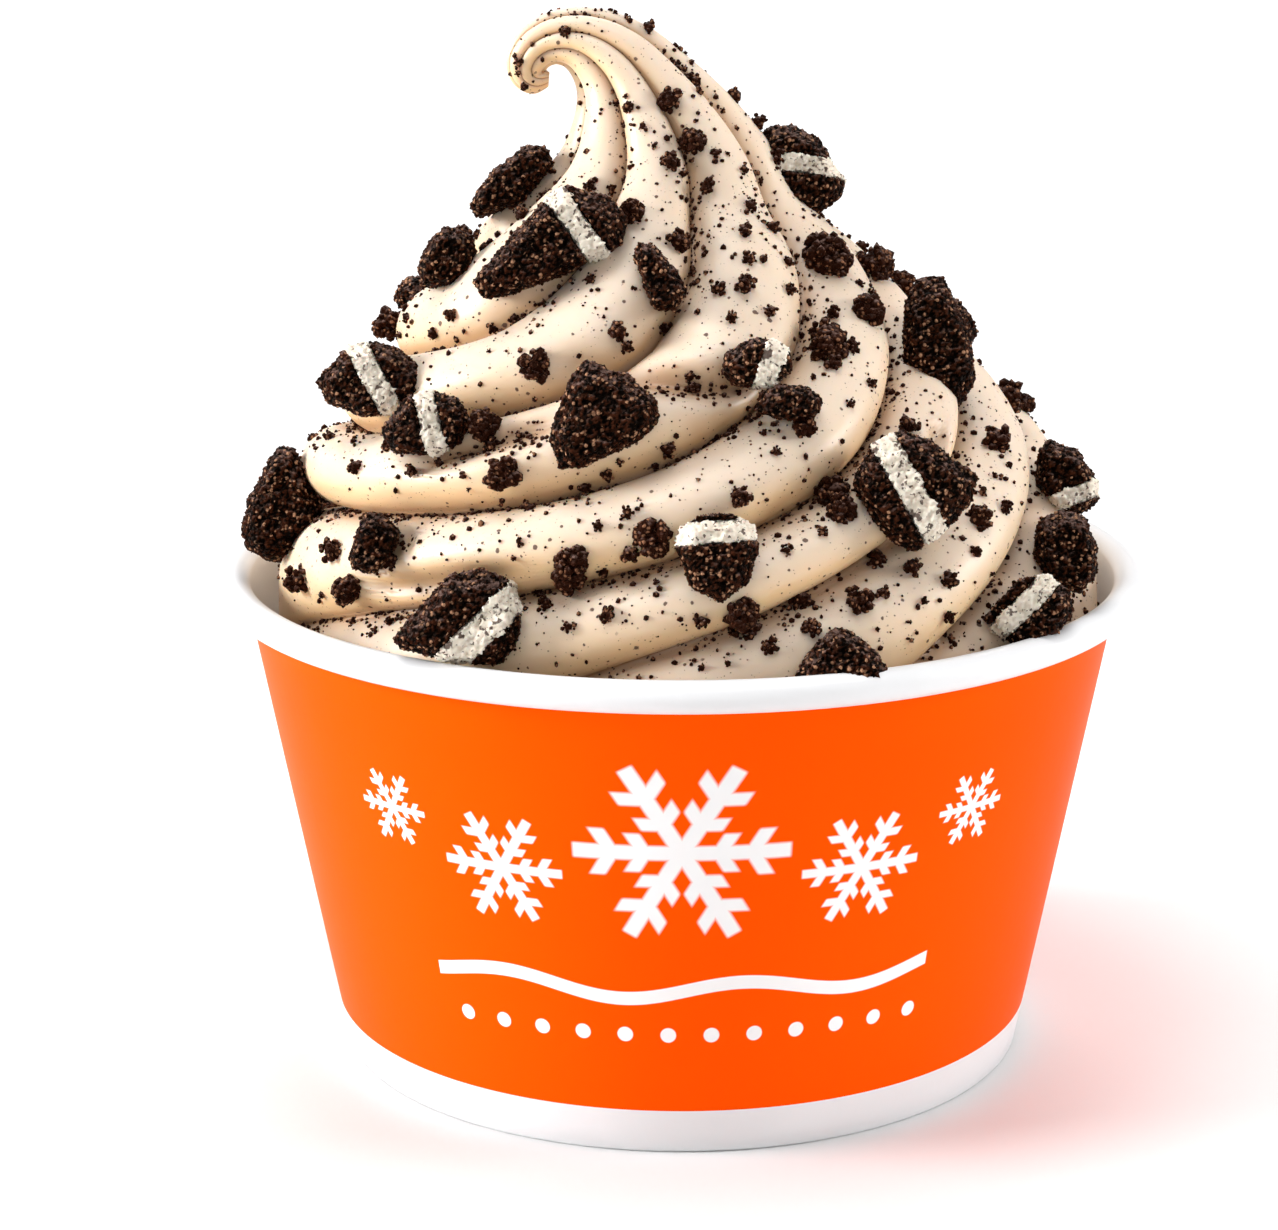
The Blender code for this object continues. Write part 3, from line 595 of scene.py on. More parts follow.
def fold_depth(azimuth, height, radius):
    # How deep the folds cut at each place, from its distance to the nearest run of a fold.
    depth = np.zeros_like(azimuth)
    for fold, run in fold_runs():
        for (turn_a, level_a), (turn_b, level_b) in zip(run, run[1:]):
            wrapped = (azimuth - turn_a + 180.0) % 360.0 - 180.0
            x = np.radians(wrapped) * radius
            y = height - level_a
            run_x = math.radians(turn_b - turn_a) * radius
            run_y = level_b - level_a
            part = np.clip((x * run_x + y * run_y) / (run_x**2 + run_y**2), 0.0, 1.0)
            distance = np.hypot(x - part * run_x, y - part * run_y)
            first = (turn_a, level_a) == run[0]
            last = (turn_b, level_b) == run[-1]
            fade = np.where(first, np.clip(part * 2.0, FOLD_END_SHARE, 1.0), 1.0)
            fade = fade * np.where(last, np.clip((1.0 - part) * 2.0, FOLD_END_SHARE, 1.0), 1.0)
            depth = np.maximum(depth, fold * fade * np.exp(-((distance / FOLD_WIDTH) ** 2)))
    return depth


def twist_at(level):
    # The turn of the ribs at each height is the sum of their rate of turn up to it.
    height = np.arange(TURN_HEIGHTS[0], TURN_HEIGHTS[-1], TURN_STEP)
    turned = np.cumsum(np.interp(height, TURN_HEIGHTS, TURN_RATES)) * TURN_STEP
    return np.interp(level, height, turned) - np.interp(TWIST_START, height, turned)


def swirl_grid():
    # The ribbed surface row by row, with its normals, how deep in a crease or fold each point
    # lies, and how far it faces down; these last two are masks for painted shade. The ribs slope
    # down towards the front.
    shift, height, radius, groove, lean = smooth_stations().T
    column, share = rib_columns()
    fade = np.clip((DROOP_TOP - height) / DROOP_RANGE, 0.0, 1.0)[:, None]
    azimuth = np.tile(column, (len(height), 1))
    for _ in range(TWIST_ROUNDS):
        level = height[:, None] + RIB_SLOPE * fade * radius[:, None] * np.cos(np.radians(azimuth))
        azimuth = column + twist_at(level)
    turn = np.radians(azimuth)[..., None]
    tilt = np.radians(lean)[:, None, None]
    zero = np.zeros_like(tilt)
    side = np.concatenate([np.cos(tilt), zero, np.sin(tilt)], axis=-1)
    along = np.concatenate([-np.sin(tilt), zero, np.cos(tilt)], axis=-1)
    front = np.array([0.0, -1.0, 0.0])
    radial = np.cos(turn) * front + np.sin(turn) * side
    run = np.hypot(np.gradient(shift), np.gradient(height))
    slant = np.arctan2(-np.gradient(radius), run)[:, None] - RIB_DROOP * fade
    normal = radial * np.cos(slant)[..., None] + along * np.sin(slant)[..., None]
    crest = (1.0 - np.abs(2.0 * share - 1.0) ** CREST_BLUNTNESS) ** CREST_FULLNESS
    spine = np.stack([shift, 0.0 * shift, height], axis=-1)[:, None]
    folds = fold_depth(azimuth, height[:, None], radius[:, None]) * crest
    depth = groove[:, None] * (1.0 - crest) + folds
    points = spine + radial * radius[:, None, None] - normal * depth[..., None]
    crease_shade = np.maximum((1.0 - crest) ** CREASE_SHARPNESS, folds / FOLD_FULL)
    across = np.roll(points, -1, axis=1) - np.roll(points, 1, axis=1)
    facing = np.cross(across, np.gradient(points, axis=0))
    facing = facing[..., 2] / np.maximum(np.linalg.norm(facing, axis=-1), 1e-9)
    under = np.clip((LEVEL_FACE - facing) / UNDERSIDE_SHADE_RANGE, 0.0, 1.0)
    return points, normal, np.clip(crease_shade, 0.0, 1.0), under


def ring_quads(rings):
    count = rings.shape[1]
    quads = []
    for row in range(len(rings) - 1):
        for column in range(count):
            here = row * count + column
            right = row * count + (column + 1) % count
            quads.append((here, right, right + count, here + count))
    return quads


def ring_mesh(name, rings):
    # Rings of points in a row, closed by a face at both ends.
    count = rings.shape[1]
    top = (len(rings) - 1) * count
    ends = [tuple(reversed(range(count))), tuple(range(top, top + count))]
    return smooth_mesh(name, rings, ends[:1] + ring_quads(rings) + ends[1:])


def paint(mesh, name, values):
    mesh.attributes.new(name, "FLOAT", "POINT").data.foreach_set("value", values)


swirl_points, swirl_normals, swirl_hollow, swirl_underside_shade = swirl_grid()
turn = np.arctan2(swirl_points[0, :, 0], -swirl_points[0, :, 1])
fill_rings = []
for height in (FILL_FLOOR, MIDDLE_LEVEL, STATIONS[0][1] - 1.0):
    reach = wall_radius(height) - BOARD - FILL_GAP
    level = np.full(len(turn), height)
    fill_rings.append(np.stack([np.sin(turn) * reach, -np.cos(turn) * reach, level], axis=-1))
swirl_mesh = ring_mesh("froyo_swirl", np.concatenate([np.array(fill_rings), swirl_points]))
# The crease depth and the downward facing go on the mesh as masks for painted shade.
for name, values in (("crease_shade", swirl_hollow), ("under", swirl_underside_shade)):
    values = np.concatenate([np.zeros(len(turn) * len(fill_rings)), values.ravel()])
    paint(swirl_mesh, name, values)

YOGURT_PALE = (0.71, 0.575, 0.452)
# A darker, warmer copy of the yogurt tone, painted as shade where the surface faces down.
YOGURT_SHADED = (0.76, 0.525, 0.295)
# A near-brown tone painted into creases and folds as painted shade.
YOGURT_CREASE_SHADE = (0.32, 0.145, 0.05)
SPECK_BROWN = (0.075, 0.028, 0.016)

yogurt = Finish(
    "frozen_yogurt",
    Subsurface_Weight=0.4,
    Subsurface_Radius=(1.0, 0.5, 0.25),
    Subsurface_Scale=0.003,
    Specular_IOR_Level=0.36,
)
stray = yogurt.node("ShaderNodeTexNoise", {}, {"Vector": yogurt.place, "Scale": 2500.0}, "Color")
stray = yogurt.node("ShaderNodeVectorMath", {"operation": "SCALE"}, {0: stray, "Scale": 0.0003})
ragged = yogurt.node("ShaderNodeVectorMath", {"operation": "ADD"}, {0: yogurt.place, 1: stray})
gathering = yogurt.mottle(90.0, 2.0) * 0.9 - 0.45


def speckles(scale, widest, share):
    # Cookie dust stirred into the mix: a ragged dot in some of the cells of a scatter.
    distance, chance, width = yogurt.cells(ragged, scale)
    dot = (width * width * widest + 0.25 * widest - distance).over(0.0, 0.06)
    return dot * (chance + gathering).over(1.0 - share, 0.05)


specks = speckles(2300.0, 0.2, 0.5) * 0.7 | speckles(1200.0, 0.2, 0.5) | speckles(620.0, 0.17, 0.5)
# Painted shade: creases and folds are painted near-brown, as the shade that falls in them.
crease_shade = yogurt.painted("crease_shade")
# Painted shade: faces turned down are painted in the darker, warmer shaded tone, mixed with random
# mottle.
under = yogurt.painted("under")
shade_and_mottle = under + yogurt.mottle(70.0, 3.0) * 0.3 - 0.15
yogurt_tone = yogurt.blend(shade_and_mottle, YOGURT_PALE, YOGURT_SHADED)
yogurt_tone = yogurt.blend(crease_shade, yogurt_tone, YOGURT_CREASE_SHADE)
yogurt_height = specks * 0.6 + yogurt.mottle(260.0, 3.0) * 0.5
yogurt.feed(
    Base_Color=yogurt.blend(specks * 0.9, yogurt_tone, SPECK_BROWN),
    Roughness=specks * 0.25 + yogurt.mottle(200.0, 2.0) * 0.12 + 0.32,
    Normal=yogurt.relief(yogurt_height, 0.00012, 0.6),
)

froyo_swirl = show("froyo_swirl", swirl_mesh, yogurt)
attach(froyo_swirl, "root")
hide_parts("froyo")


# Cookie chunks: a two-wafer chocolate cookie broken by hand and pressed into the yogurt. Each
# wafer and cream layer is its own piece, rough where it broke and pitted like baked dough.

LAYER_GAP = 0.04

# Broken outlines as they are seen from outside, in millimetres to the right and up.
OUTLINES = {
    "slanted_block": (
        (-9.4, -4.4), (-8.0, -6.6), (-3.7, -5.6), (6.0, -1.6), (8.8, 0.2), (9.2, 3.2), (7.4, 5.6),
        (2.4, 7.2), (-0.4, 5.8),
    ),
    "long_block": (
        (-7.0, -0.3), (-5.8, -2.8), (-1.5, -4.5), (3.0, -4.3), (6.3, -1.8), (6.4, 0.8), (3.2, 3.8),
        (0.2, 4.7), (-2.8, 4.2),
    ),
    "small_block": (
        (-5.8, -1.0), (-4.4, -3.2), (0.6, -3.8), (3.8, -2.0), (4.9, 0.6), (3.4, 3.2), (0.4, 4.1),
        (-2.6, 3.6),
    ),
    "broad_block": (
        (-7.7, -2.4), (-6.8, -3.6), (-0.4, -5.3), (4.8, -5.6), (6.5, -3.0), (7.4, 1.2), (6.0, 4.2),
        (2.6, 5.6), (-1.2, 5.0),
    ),
    "round_block": (
        (-4.9, 1.2), (-2.6, -3.6), (0.6, -5.2), (3.5, -2.9), (4.9, 1.0), (4.3, 3.7), (1.7, 5.2),
        (-1.7, 4.9), (-4.0, 3.6),
    ),
    "square_block": (
        (-7.1, 0.6), (-6.5, -1.2), (-2.8, -6.0), (0.0, -7.4), (2.6, -6.2), (6.8, -1.4), (7.4, 1.4),
        (1.8, 5.8), (-1.4, 6.8), (-4.8, 5.4),
    ),
    "tilted_block": (
        (-5.6, -1.2), (-4.6, -3.3), (-1.2, -4.6), (3.1, -3.1), (5.2, -0.6), (4.9, 1.9), (2.5, 4.0),
        (-1.2, 3.4),
    ),
    "leaning_block": (
        (-3.8, -0.6), (-1.9, -3.4), (1.9, -4.4), (4.1, -2.5), (3.8, -0.4), (1.9, 3.2), (-1.9, 5.1),
        (-3.4, 3.8),
    ),
    "end_block": (
        (-5.8, 3.0), (-4.0, -3.2), (-1.9, -5.4), (3.2, -5.4), (5.7, -3.3), (6.1, -1.3), (2.6, 3.9),
        (-0.6, 5.4), (-3.6, 5.2),
    ),
    "flat_block": (
        (-5.1, 0.2), (-3.7, -1.4), (0.4, -1.8), (3.4, 0.2), (3.0, 2.6), (1.2, 4.3), (-1.2, 4.4),
        (-4.2, 2.5),
    ),
    "slab": (
        (-5.4, -2.8), (-4.6, -4.3), (1.3, -2.3), (5.3, 2.2), (4.2, 4.3), (2.0, 4.6), (-2.5, 1.5),
    ),
    "knob": (
        (-4.1, -1.5), (-3.2, -3.6), (0.2, -3.5), (2.6, -1.5), (3.2, 1.3), (1.9, 3.3), (-0.6, 3.7),
        (-2.2, 2.6),
    ),
    "wedge": (
        (-6.7, -2.4), (-5.4, -6.0), (-2.4, -5.5), (3.9, -2.6), (6.3, -0.2), (5.9, 2.1), (2.7, 4.9),
        (-2.4, 6.8), (-3.9, 5.1),
    ),
    "shard": (
        (-5.2, -3.2), (-4.5, -5.8), (-1.9, -7.5), (0.6, -6.2), (4.9, -1.9), (3.4, 3.0), (1.2, 7.0),
        (-0.6, 7.1), (-4.5, 0.6),
    ),
    "pebble": (
        (-3.1, -1.9), (-2.5, -3.4), (0.2, -3.7), (2.7, -0.8), (3.3, 1.2), (0.9, 3.3), (-0.9, 3.3),
    ),
    "peak": (
        (-5.5, -2.3), (-4.6, -4.0), (4.4, -4.0), (5.2, -1.7), (4.1, 0.0), (0.6, 2.9), (-1.2, 3.1),
        (-3.5, 1.2),
    ),
    "cobble": (
        (-3.8, -0.6), (-1.9, -3.8), (1.9, -5.0), (4.0, -2.5), (4.0, 0.6), (2.5, 4.0), (-0.6, 5.2),
        (-3.1, 3.5),
    ),
    "tall_slab": (
        (-4.1, -2.5), (-1.3, -5.7), (2.8, -7.9), (4.9, -4.4), (4.4, 0.6), (2.5, 5.1), (0.6, 8.2),
        (-2.2, 7.9), (-3.8, 5.1),
    ),
    "flake": (
        (-4.1, -1.2), (0.0, -2.2), (3.4, -1.6), (4.1, 0.2), (2.2, 1.8), (-1.0, 2.0), (-3.4, 1.0),
    ),
    "splinter": (
        (-3.1, 2.5), (-2.1, -0.6), (-0.6, -3.7), (1.9, -4.0), (3.3, -1.9), (2.1, 0.6), (-0.6, 3.7),
        (-2.5, 4.3),
    ),
}

# Where the cream layer crosses an outline: the angle of the layer axis, the middle, the width.
CREAM_BANDS = {
    "slanted_block": (35.5, 3.9, 2.8),
    "long_block": (29.5, 0.2, 2.8),
    "small_block": (14.7, 0.2, 2.5),
    "broad_block": (-45.0, 2.9, 3.6),
    "round_block": (95.0, 2.9, 2.7),
    "square_block": (29.4, -0.5, 3.2),
    "tilted_block": (-45.0, -0.6, 2.5),
    "leaning_block": (-70.0, 2.2, 2.2),
    "end_block": (82.0, 0.4, 2.3),
    "flat_block": (-20.0, 0.4, 2.6),
}

# Chunks on the front, cookie_01 to cookie_20 from the first line to the last: outline, picture
# column and row of the middle, lift and depth.
FRONT_CHUNKS = (
    ("slanted_block", 550, 247, 1.6, 8.4),
    ("long_block", 378, 380, 1.6, 8.0),
    ("small_block", 435, 426, 1.0, 7.4),
    ("broad_block", 462, 618, 2.2, 8.4),
    ("round_block", 715, 556, 1.8, 7.4),
    ("square_block", 912, 490, 2.4, 8.4),
    ("tilted_block", 1027, 607, 1.4, 7.4),
    ("leaning_block", 1060, 480, 0.8, 8.0),
    ("end_block", 798, 170, 1.4, 9.0),
    ("flat_block", 764, 375, 1.0, 6.4),
    ("slab", 513, 184, 1.2, 9.0),
    ("knob", 452, 258, 1.2, 7.4),
    ("wedge", 607, 418, 1.6, 8.0),
    ("shard", 288, 503, 1.0, 9.4),
    ("pebble", 376, 540, 1.0, 6.4),
    ("peak", 840, 655, 1.0, 7.4),
    ("cobble", 1060, 550, 1.0, 8.0),
    ("tall_slab", 935, 345, 0.6, 9.0),
    ("flake", 790, 402, 1.4, 5.0),
    ("splinter", 660, 278, 0.6, 5.4),
)

# Chunks on the back, cookie_21 to cookie_30: outline, azimuth, height and lift of the middle,
# spin and depth.
BACK_CHUNKS = (
    ("long_block", 148, 97.0, 1.4, 30, 8.0),
    ("square_block", 206, 80.0, 1.6, -20, 8.4),
    ("tilted_block", 128, 71.0, 1.2, 40, 7.4),
    ("cobble", 118, 88.0, 1.2, 25, 7.4),
    ("pebble", 178, 108.0, 1.0, 60, 6.4),
    ("wedge", 166, 82.0, 1.2, 75, 8.0),
    ("knob", 184, 67.0, 0.8, 0, 7.4),
    ("slab", 234, 92.0, 1.2, -40, 7.4),
    ("splinter", 226, 105.5, 1.0, 30, 6.0),
    ("shard", 244, 68.5, 0.8, 90, 8.0),
)
BACK_TILT = 32.0
BEVEL_SHARE = 0.27
FACE_SHARE = 0.72
FACE_DROP = 0.5
ROOT_SHARE = 0.88


def crest_point(azimuth, height, lift):
    rows = smooth_stations()
    last = int(np.argmax(rows[:, 1] > NECK_HEIGHT))
    shift = np.interp(height, rows[:last, 1], rows[:last, 0])
    radius = np.interp(height, rows[:last, 1], rows[:last, 2])
    higher = np.interp(height + 1.0, rows[:last, 1], rows[:last, 2])
    turn = math.radians(azimuth)
    out = Vector((math.sin(turn), -math.cos(turn), 0.0))
    right = Vector((math.cos(turn), math.sin(turn), 0.0))
    up = (Vector((0.0, 0.0, 1.0)) + out * (higher - radius)).normalized()
    normal = right.cross(up)
    return Vector((shift, 0.0, height)) + out * radius + normal * lift, right, up, normal


def placed_chunks():
    # Each outline with the frame that it is drawn in. Those on the front face the camera.
    chunks = []
    for outline_name, column, row, lift, depth in FRONT_CHUNKS:
        azimuth, height = seen_place(column, row, lift)
        frame = chunk_frame(azimuth, height, lift, 0.0, math.degrees(CAMERA_ELEVATION))
        chunks.append((outline_name, frame, 0, depth))
    for outline_name, azimuth, height, lift, spin, depth in BACK_CHUNKS:
        frame = chunk_frame(azimuth, height, lift, azimuth, BACK_TILT)
        chunks.append((outline_name, frame, spin, depth))
    return chunks


def chunk_frame(azimuth, height, lift, facing, lean):
    # Its middle lies on the crest; its outline is drawn square to the way it faces.
    place, _, _, _ = crest_point(azimuth, height, lift)
    turn = math.radians(facing)
    tilt = math.radians(lean)
    level = Vector((math.sin(turn), -math.cos(turn), 0.0))
    right = Vector((math.cos(turn), math.sin(turn), 0.0))
    outward = level * math.cos(tilt) + Vector((0.0, 0.0, math.sin(tilt)))
    return place, right, outward.cross(right), outward


def spun_outline(name, spin):
    cosine = math.cos(math.radians(spin))
    sine = math.sin(math.radians(spin))
    return [(x * cosine - y * sine, x * sine + y * cosine) for x, y in OUTLINES[name]]


def clip_outline(outline, direction, limit):
    # Keeps the part of a convex outline whose reach along the direction is below the limit.
    kept = []
    for index, here in enumerate(outline):
        after = outline[(index + 1) % len(outline)]
        reach_here = here[0] * direction[0] + here[1] * direction[1] - limit
        reach_after = after[0] * direction[0] + after[1] * direction[1] - limit
        if reach_here <= 0.0:
            kept.append(here)
        if reach_here * reach_after < 0.0:
            share = reach_here / (reach_here - reach_after)
            kept.append(tuple(a + (b - a) * share for a, b in zip(here, after)))
    return kept


def level_outlines(outline, depth):
    # The same outline at the root, at the shoulder and, drawn in and lowered, on the outer face.
    middle_x = sum(x for x, _ in outline) / len(outline)
    middle_y = sum(y for _, y in outline) / len(outline)
    face = 0.5 * depth
    shoulder = face - BEVEL_SHARE * depth
    levels = []
    steps = ((-face, ROOT_SHARE, 0.0), (shoulder, 1.0, 0.0), (face, FACE_SHARE, FACE_DROP))
    for offset, share, drop in steps:
        ring = []
        for x, y in outline:
            ring.append((middle_x + (x - middle_x) * share, middle_y + (y - middle_y) * share - drop))
        levels.append((offset, ring))
    return levels


def chunk_parts(name, outline_name, spin, depth):
    # A plain chunk is one part; a layered one is cut across into wafer, cream and wafer.
    levels = level_outlines(spun_outline(outline_name, spin), depth)
    if outline_name not in CREAM_BANDS:
        return [(name, False, levels)]
    angle, middle, width = CREAM_BANDS[outline_name]
    turn = math.radians(angle + spin)
    along = (math.cos(turn), math.sin(turn))
    against = (-along[0], -along[1])
    near = middle - 0.5 * width
    far = middle + 0.5 * width
    parts = []
    for suffix, is_cream, low, high in (
        ("_lower", False, None, near),
        ("_cream", True, near + LAYER_GAP, far - LAYER_GAP),
        ("_upper", False, far, None),
    ):
        cut_levels = []
        for offset, ring in levels:
            if high is not None:
                ring = clip_outline(ring, along, high)
            if low is not None:
                ring = clip_outline(ring, against, -low)
            cut_levels.append((offset, ring))
        parts.append((name + suffix, is_cream, cut_levels))
    return parts


def part_points(frame, levels):
    place, right, up, outward = frame
    points = []
    for offset, ring in levels:
        for x, y in ring:
            points.append(place + right * x + up * y + outward * offset)
    return points


def crumbled_mesh(name, points, cell, bite, pit):
    # The hull of the points, remeshed finely, then bitten and pitted along its normals.
    shape = bmesh.new()
    for point in points:
        shape.verts.new(Vector(point) * MM)
    bmesh.ops.convex_hull(shape, input=shape.verts)
    bmesh.ops.recalc_face_normals(shape, faces=shape.faces)
    coarse = bpy.data.meshes.new(name)
    shape.to_mesh(coarse)
    shape.free()
    body = bpy.data.objects.new(name, coarse)
    scene.collection.objects.link(body)
    remesh = body.modifiers.new("Remesh", "REMESH")
    remesh.mode = "VOXEL"
    remesh.voxel_size = cell * MM
    bpy.context.view_layer.update()
    graph = bpy.context.evaluated_depsgraph_get()
    mesh = bpy.data.meshes.new_from_object(body.evaluated_get(graph))
    bpy.data.objects.remove(body)
    spots = np.array([vertex.co[:] for vertex in mesh.vertices]) / MM
    normals = np.array([vertex.normal[:] for vertex in mesh.vertices])
    rise = []
    peak_light = []
    for spot in spots:
        spot = Vector(spot)
        grain = GRAIN_REACH - noise.voronoi(spot * GRAIN_PITCH)[0][0]
        fine = noise.noise(spot * FINE_PITCH)
        rise.append(noise.noise(spot * BITE_PITCH) * bite + (grain + FINE_SHARE * fine) * pit)
        # How high each point stands on its grain: pits are later painted in shade, peaks lighter and
        # glinting.
        peak_light.append(min(1.0, max(0.0, 0.5 + grain + 0.5 * fine)))
    spots += normals * np.array(rise)[:, None]
    mesh.vertices.foreach_set("co", (spots * MM).astype(np.float32).ravel())
    paint(mesh, "peak_light", peak_light)
    mesh.update()
    mesh.shade_smooth()
    return mesh


TOP_SHEEN_TONE = (0.20, 0.125, 0.105)
CREAM_SHADE = (0.56, 0.46, 0.34)
CREAM_LIGHT = (0.86, 0.80, 0.70)
CREAM_DUST = (0.05, 0.02, 0.012)


def cookie_finish(name, pit_shade_tone, grain_tone, glint_tone):
    cookie = Finish(name, Specular_IOR_Level=0.04, Specular_Tint=(1.0, 0.7, 0.5, 1.0))
    distance, chance, _ = cookie.cells(cookie.place, 2100.0)
    peak_light = cookie.painted("peak_light")
    grain = cookie.mottle(1500.0, 4.0)
    # Painted shade: pits are painted near-black and raised grains brown, mixed with random grain tone.
    tone = cookie.blend((peak_light * 0.8 + grain * 0.7 - 0.25).over(0.58, 0.4), pit_shade_tone, grain_tone)
    facing = cookie.node("ShaderNodeNewGeometry", {}, {}, "Normal")
    _, _, level = cookie.node("ShaderNodeSeparateXYZ", {}, {0: facing}, (0, 1, 2))
    # Painted sheen: faces turned up are painted lighter and greyer, as if lit from above.
    top_sheen = level.over(0.62, 0.5) * grain.over(0.54, 0.12) * 0.75
    tone = cookie.blend(top_sheen, tone, TOP_SHEEN_TONE)
    # Painted glints: light flecks on the raised grains stand in for highlights in the base colour.
    glint = chance.over(0.79, 0.08) * (0.5 - distance).over(0.0, 0.2) * peak_light.over(0.4, 0.3)
    cookie.feed(
        Base_Color=cookie.blend(glint, tone, glint_tone),
        Roughness=grain * 0.35 + 0.25,
        Normal=cookie.relief(grain * 0.6 - distance, 0.0004, 1.0),
    )
    return cookie


def cream_finish(name):
    cream = Finish(name, Specular_IOR_Level=0.3, Subsurface_Weight=0.1, Subsurface_Scale=0.002)
    peak_light = cream.painted("peak_light")
    # Painted light and shade: raised grains of the cream are painted lighter and pits darker, with
    # random mottle.
    light = cream.mottle(500.0, 3.0) * 0.6 + peak_light * 0.5
    tone = cream.blend(light, CREAM_SHADE, CREAM_LIGHT)
    dust = cream.mottle(1500.0, 2.0).over(0.62, 0.05) | cream.mottle(430.0, 3.0).over(0.64, 0.03)
    cream.feed(
        Base_Color=cream.blend(dust * 0.9, tone, CREAM_DUST),
        Roughness=cream.mottle(300.0, 2.0) * 0.2 + 0.5,
        Normal=cream.relief(cream.mottle(1100.0, 4.0), 0.0004, 0.8),
    )
    return cream


# The broken faces: the pitch and depth of bites, grains and fine grains, and the mesh's cell.
BITE_PITCH = 0.4
GRAIN_PITCH = 1.9
FINE_PITCH = 3.6
GRAIN_REACH = 0.45
FINE_SHARE = 0.3
CHUNK_VOXEL = 0.26
WAFER_BITE = 0.34
WAFER_PIT = 0.62
CREAM_BITE = 0.6
CREAM_PIT = 0.75
wafer_dark = cookie_finish(
    "wafer_dark",
    pit_shade_tone=(0.0010, 0.0003, 0.0002),
    grain_tone=(0.050, 0.0135, 0.0055),
    glint_tone=(0.38, 0.20, 0.115),
)
cream_white = cream_finish("cream_filling")

for number, (outline_name, frame_here, spin, depth) in enumerate(placed_chunks(), 1):
    name = f"cookie_{number:02d}"
    for part_name, is_cream, levels in chunk_parts(name, outline_name, spin, depth):
        points = part_points(frame_here, levels)
        bite = CREAM_BITE if is_cream else WAFER_BITE
        pit = CREAM_PIT if is_cream else WAFER_PIT
        mesh = crumbled_mesh(part_name + "_crumbly", points, CHUNK_VOXEL, bite, pit)
        piece = show(part_name + "_crumbly", mesh, cream_white if is_cream else wafer_dark)
        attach(piece, "root")
        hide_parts(part_name)


# Crumbs: what broke off the same cookies, from lumps the size of a lentil down to dust, shaken
# over the swirl. They stick where the ribs face up and gather in drifts along the crests.

# Larger lumps on the front: picture column and row, and size.
FRONT_LUMPS = (
    (830, 258, 5.0),
    (868, 258, 5.4),
    (505, 478, 4.6),
    (633, 214, 3.6),
    (1012, 400, 5.0),
    (824, 340, 4.8),
    (865, 312, 4.0),
    (652, 537, 5.0),
    (745, 630, 4.2),
    (488, 415, 4.4),
    (570, 575, 4.4),
    (835, 495, 4.0),
    (385, 325, 4.6),
    (345, 592, 3.8),
)

# Larger lumps on the back, and one under the crook: azimuth, height and size.
BACK_LUMPS = (
    (20, 118.0, 3.4),
    (150, 76.0, 5.0),
    (196, 90.0, 4.6),
    (215, 72.0, 4.4),
    (250, 82.0, 5.0),
    (160, 104.0, 4.2),
    (110, 96.0, 4.4),
    (262, 103.0, 4.2),
)

# Grains of a crumb: where they sit and how wide they are as shares of its size, and how many.
GRAIN_DISTANCES = (0.3, 0.42)
GRAIN_RADII = (0.1, 0.17)
CORE_RADIUS = 0.36
LONE_RADIUS = 0.5
GRAIN_STRETCH = (0.75, 1.2)
GRAIN_STRAY = (0.8, 1.15)
GRAINS_PER_MM = 9
FEWEST_GRAINS = 6
LUMP_GRAINS = 60
# The even peak value given to every crumb for the painted pit shade and glints.
CRUMB_PEAK_LIGHT = 0.75

# How far crumbs stand out of the surface, and where they gather.
LUMP_RISE = 0.2
SEEN_RISE = 0.14
SEEN_SPREAD = 1.15
CRUMB_RISE = 0.12
CRUMB_REACH = 0.7
SIZE_SKEW = 2.2
CREASE_SHARE = 7.0
LEAST_SHARE = 0.04
LOWEST_CRUMB = 58.0
BEHIND_FROM = -8.0
DRIFT_PITCH = 0.13
DRIFT_LIFT = 0.2
DRIFT_RANGE = (-0.3, 0.45)
LATEST_PLACES = 60


def grain_template():
    shape = bmesh.new()
    bmesh.ops.create_icosphere(shape, subdivisions=1, radius=1.0)
    points = np.array([vertex.co[:] for vertex in shape.verts])
    faces = np.array([[vertex.index for vertex in face.verts] for face in shape.faces])
    shape.free()
    return points, faces


def crumb_cluster(draw, place, size, grains):
    # A crumb is one core with smaller grains stuck all over it, each with strayed points.
    points, faces = grain_shape
    parts = []
    for grain in range(grains):
        away = draw.normal(size=3)
        away = away / np.linalg.norm(away) * size * draw.uniform(*GRAIN_DISTANCES)
        radius = size * draw.uniform(*GRAIN_RADII)
        if grain == 0:
            away = away * 0.0
            radius = size * (CORE_RADIUS if grains > 1 else LONE_RADIUS)
        stretch = draw.uniform(*GRAIN_STRETCH, 3)
        stray = draw.uniform(*GRAIN_STRAY, (len(points), 1))
        parts.append((np.asarray(place) + away + points * stretch * stray * radius, faces))
    return parts


def below_top(place, size):
    # No crumb stands higher than the top of the solids.
    place[2] = min(place[2], cad_box[1][2] / MM - CRUMB_REACH * size)
    return place


def joined_mesh(name, parts):
    points = np.concatenate([part[0] for part in parts])
    faces = []
    start = 0
    for part_points, part_faces in parts:
        faces.extend((part_faces + start).tolist())
        start += len(part_points)
    mesh = smooth_mesh(name, points, faces)
    paint(mesh, "peak_light", np.full(len(points), CRUMB_PEAK_LIGHT))
    return mesh


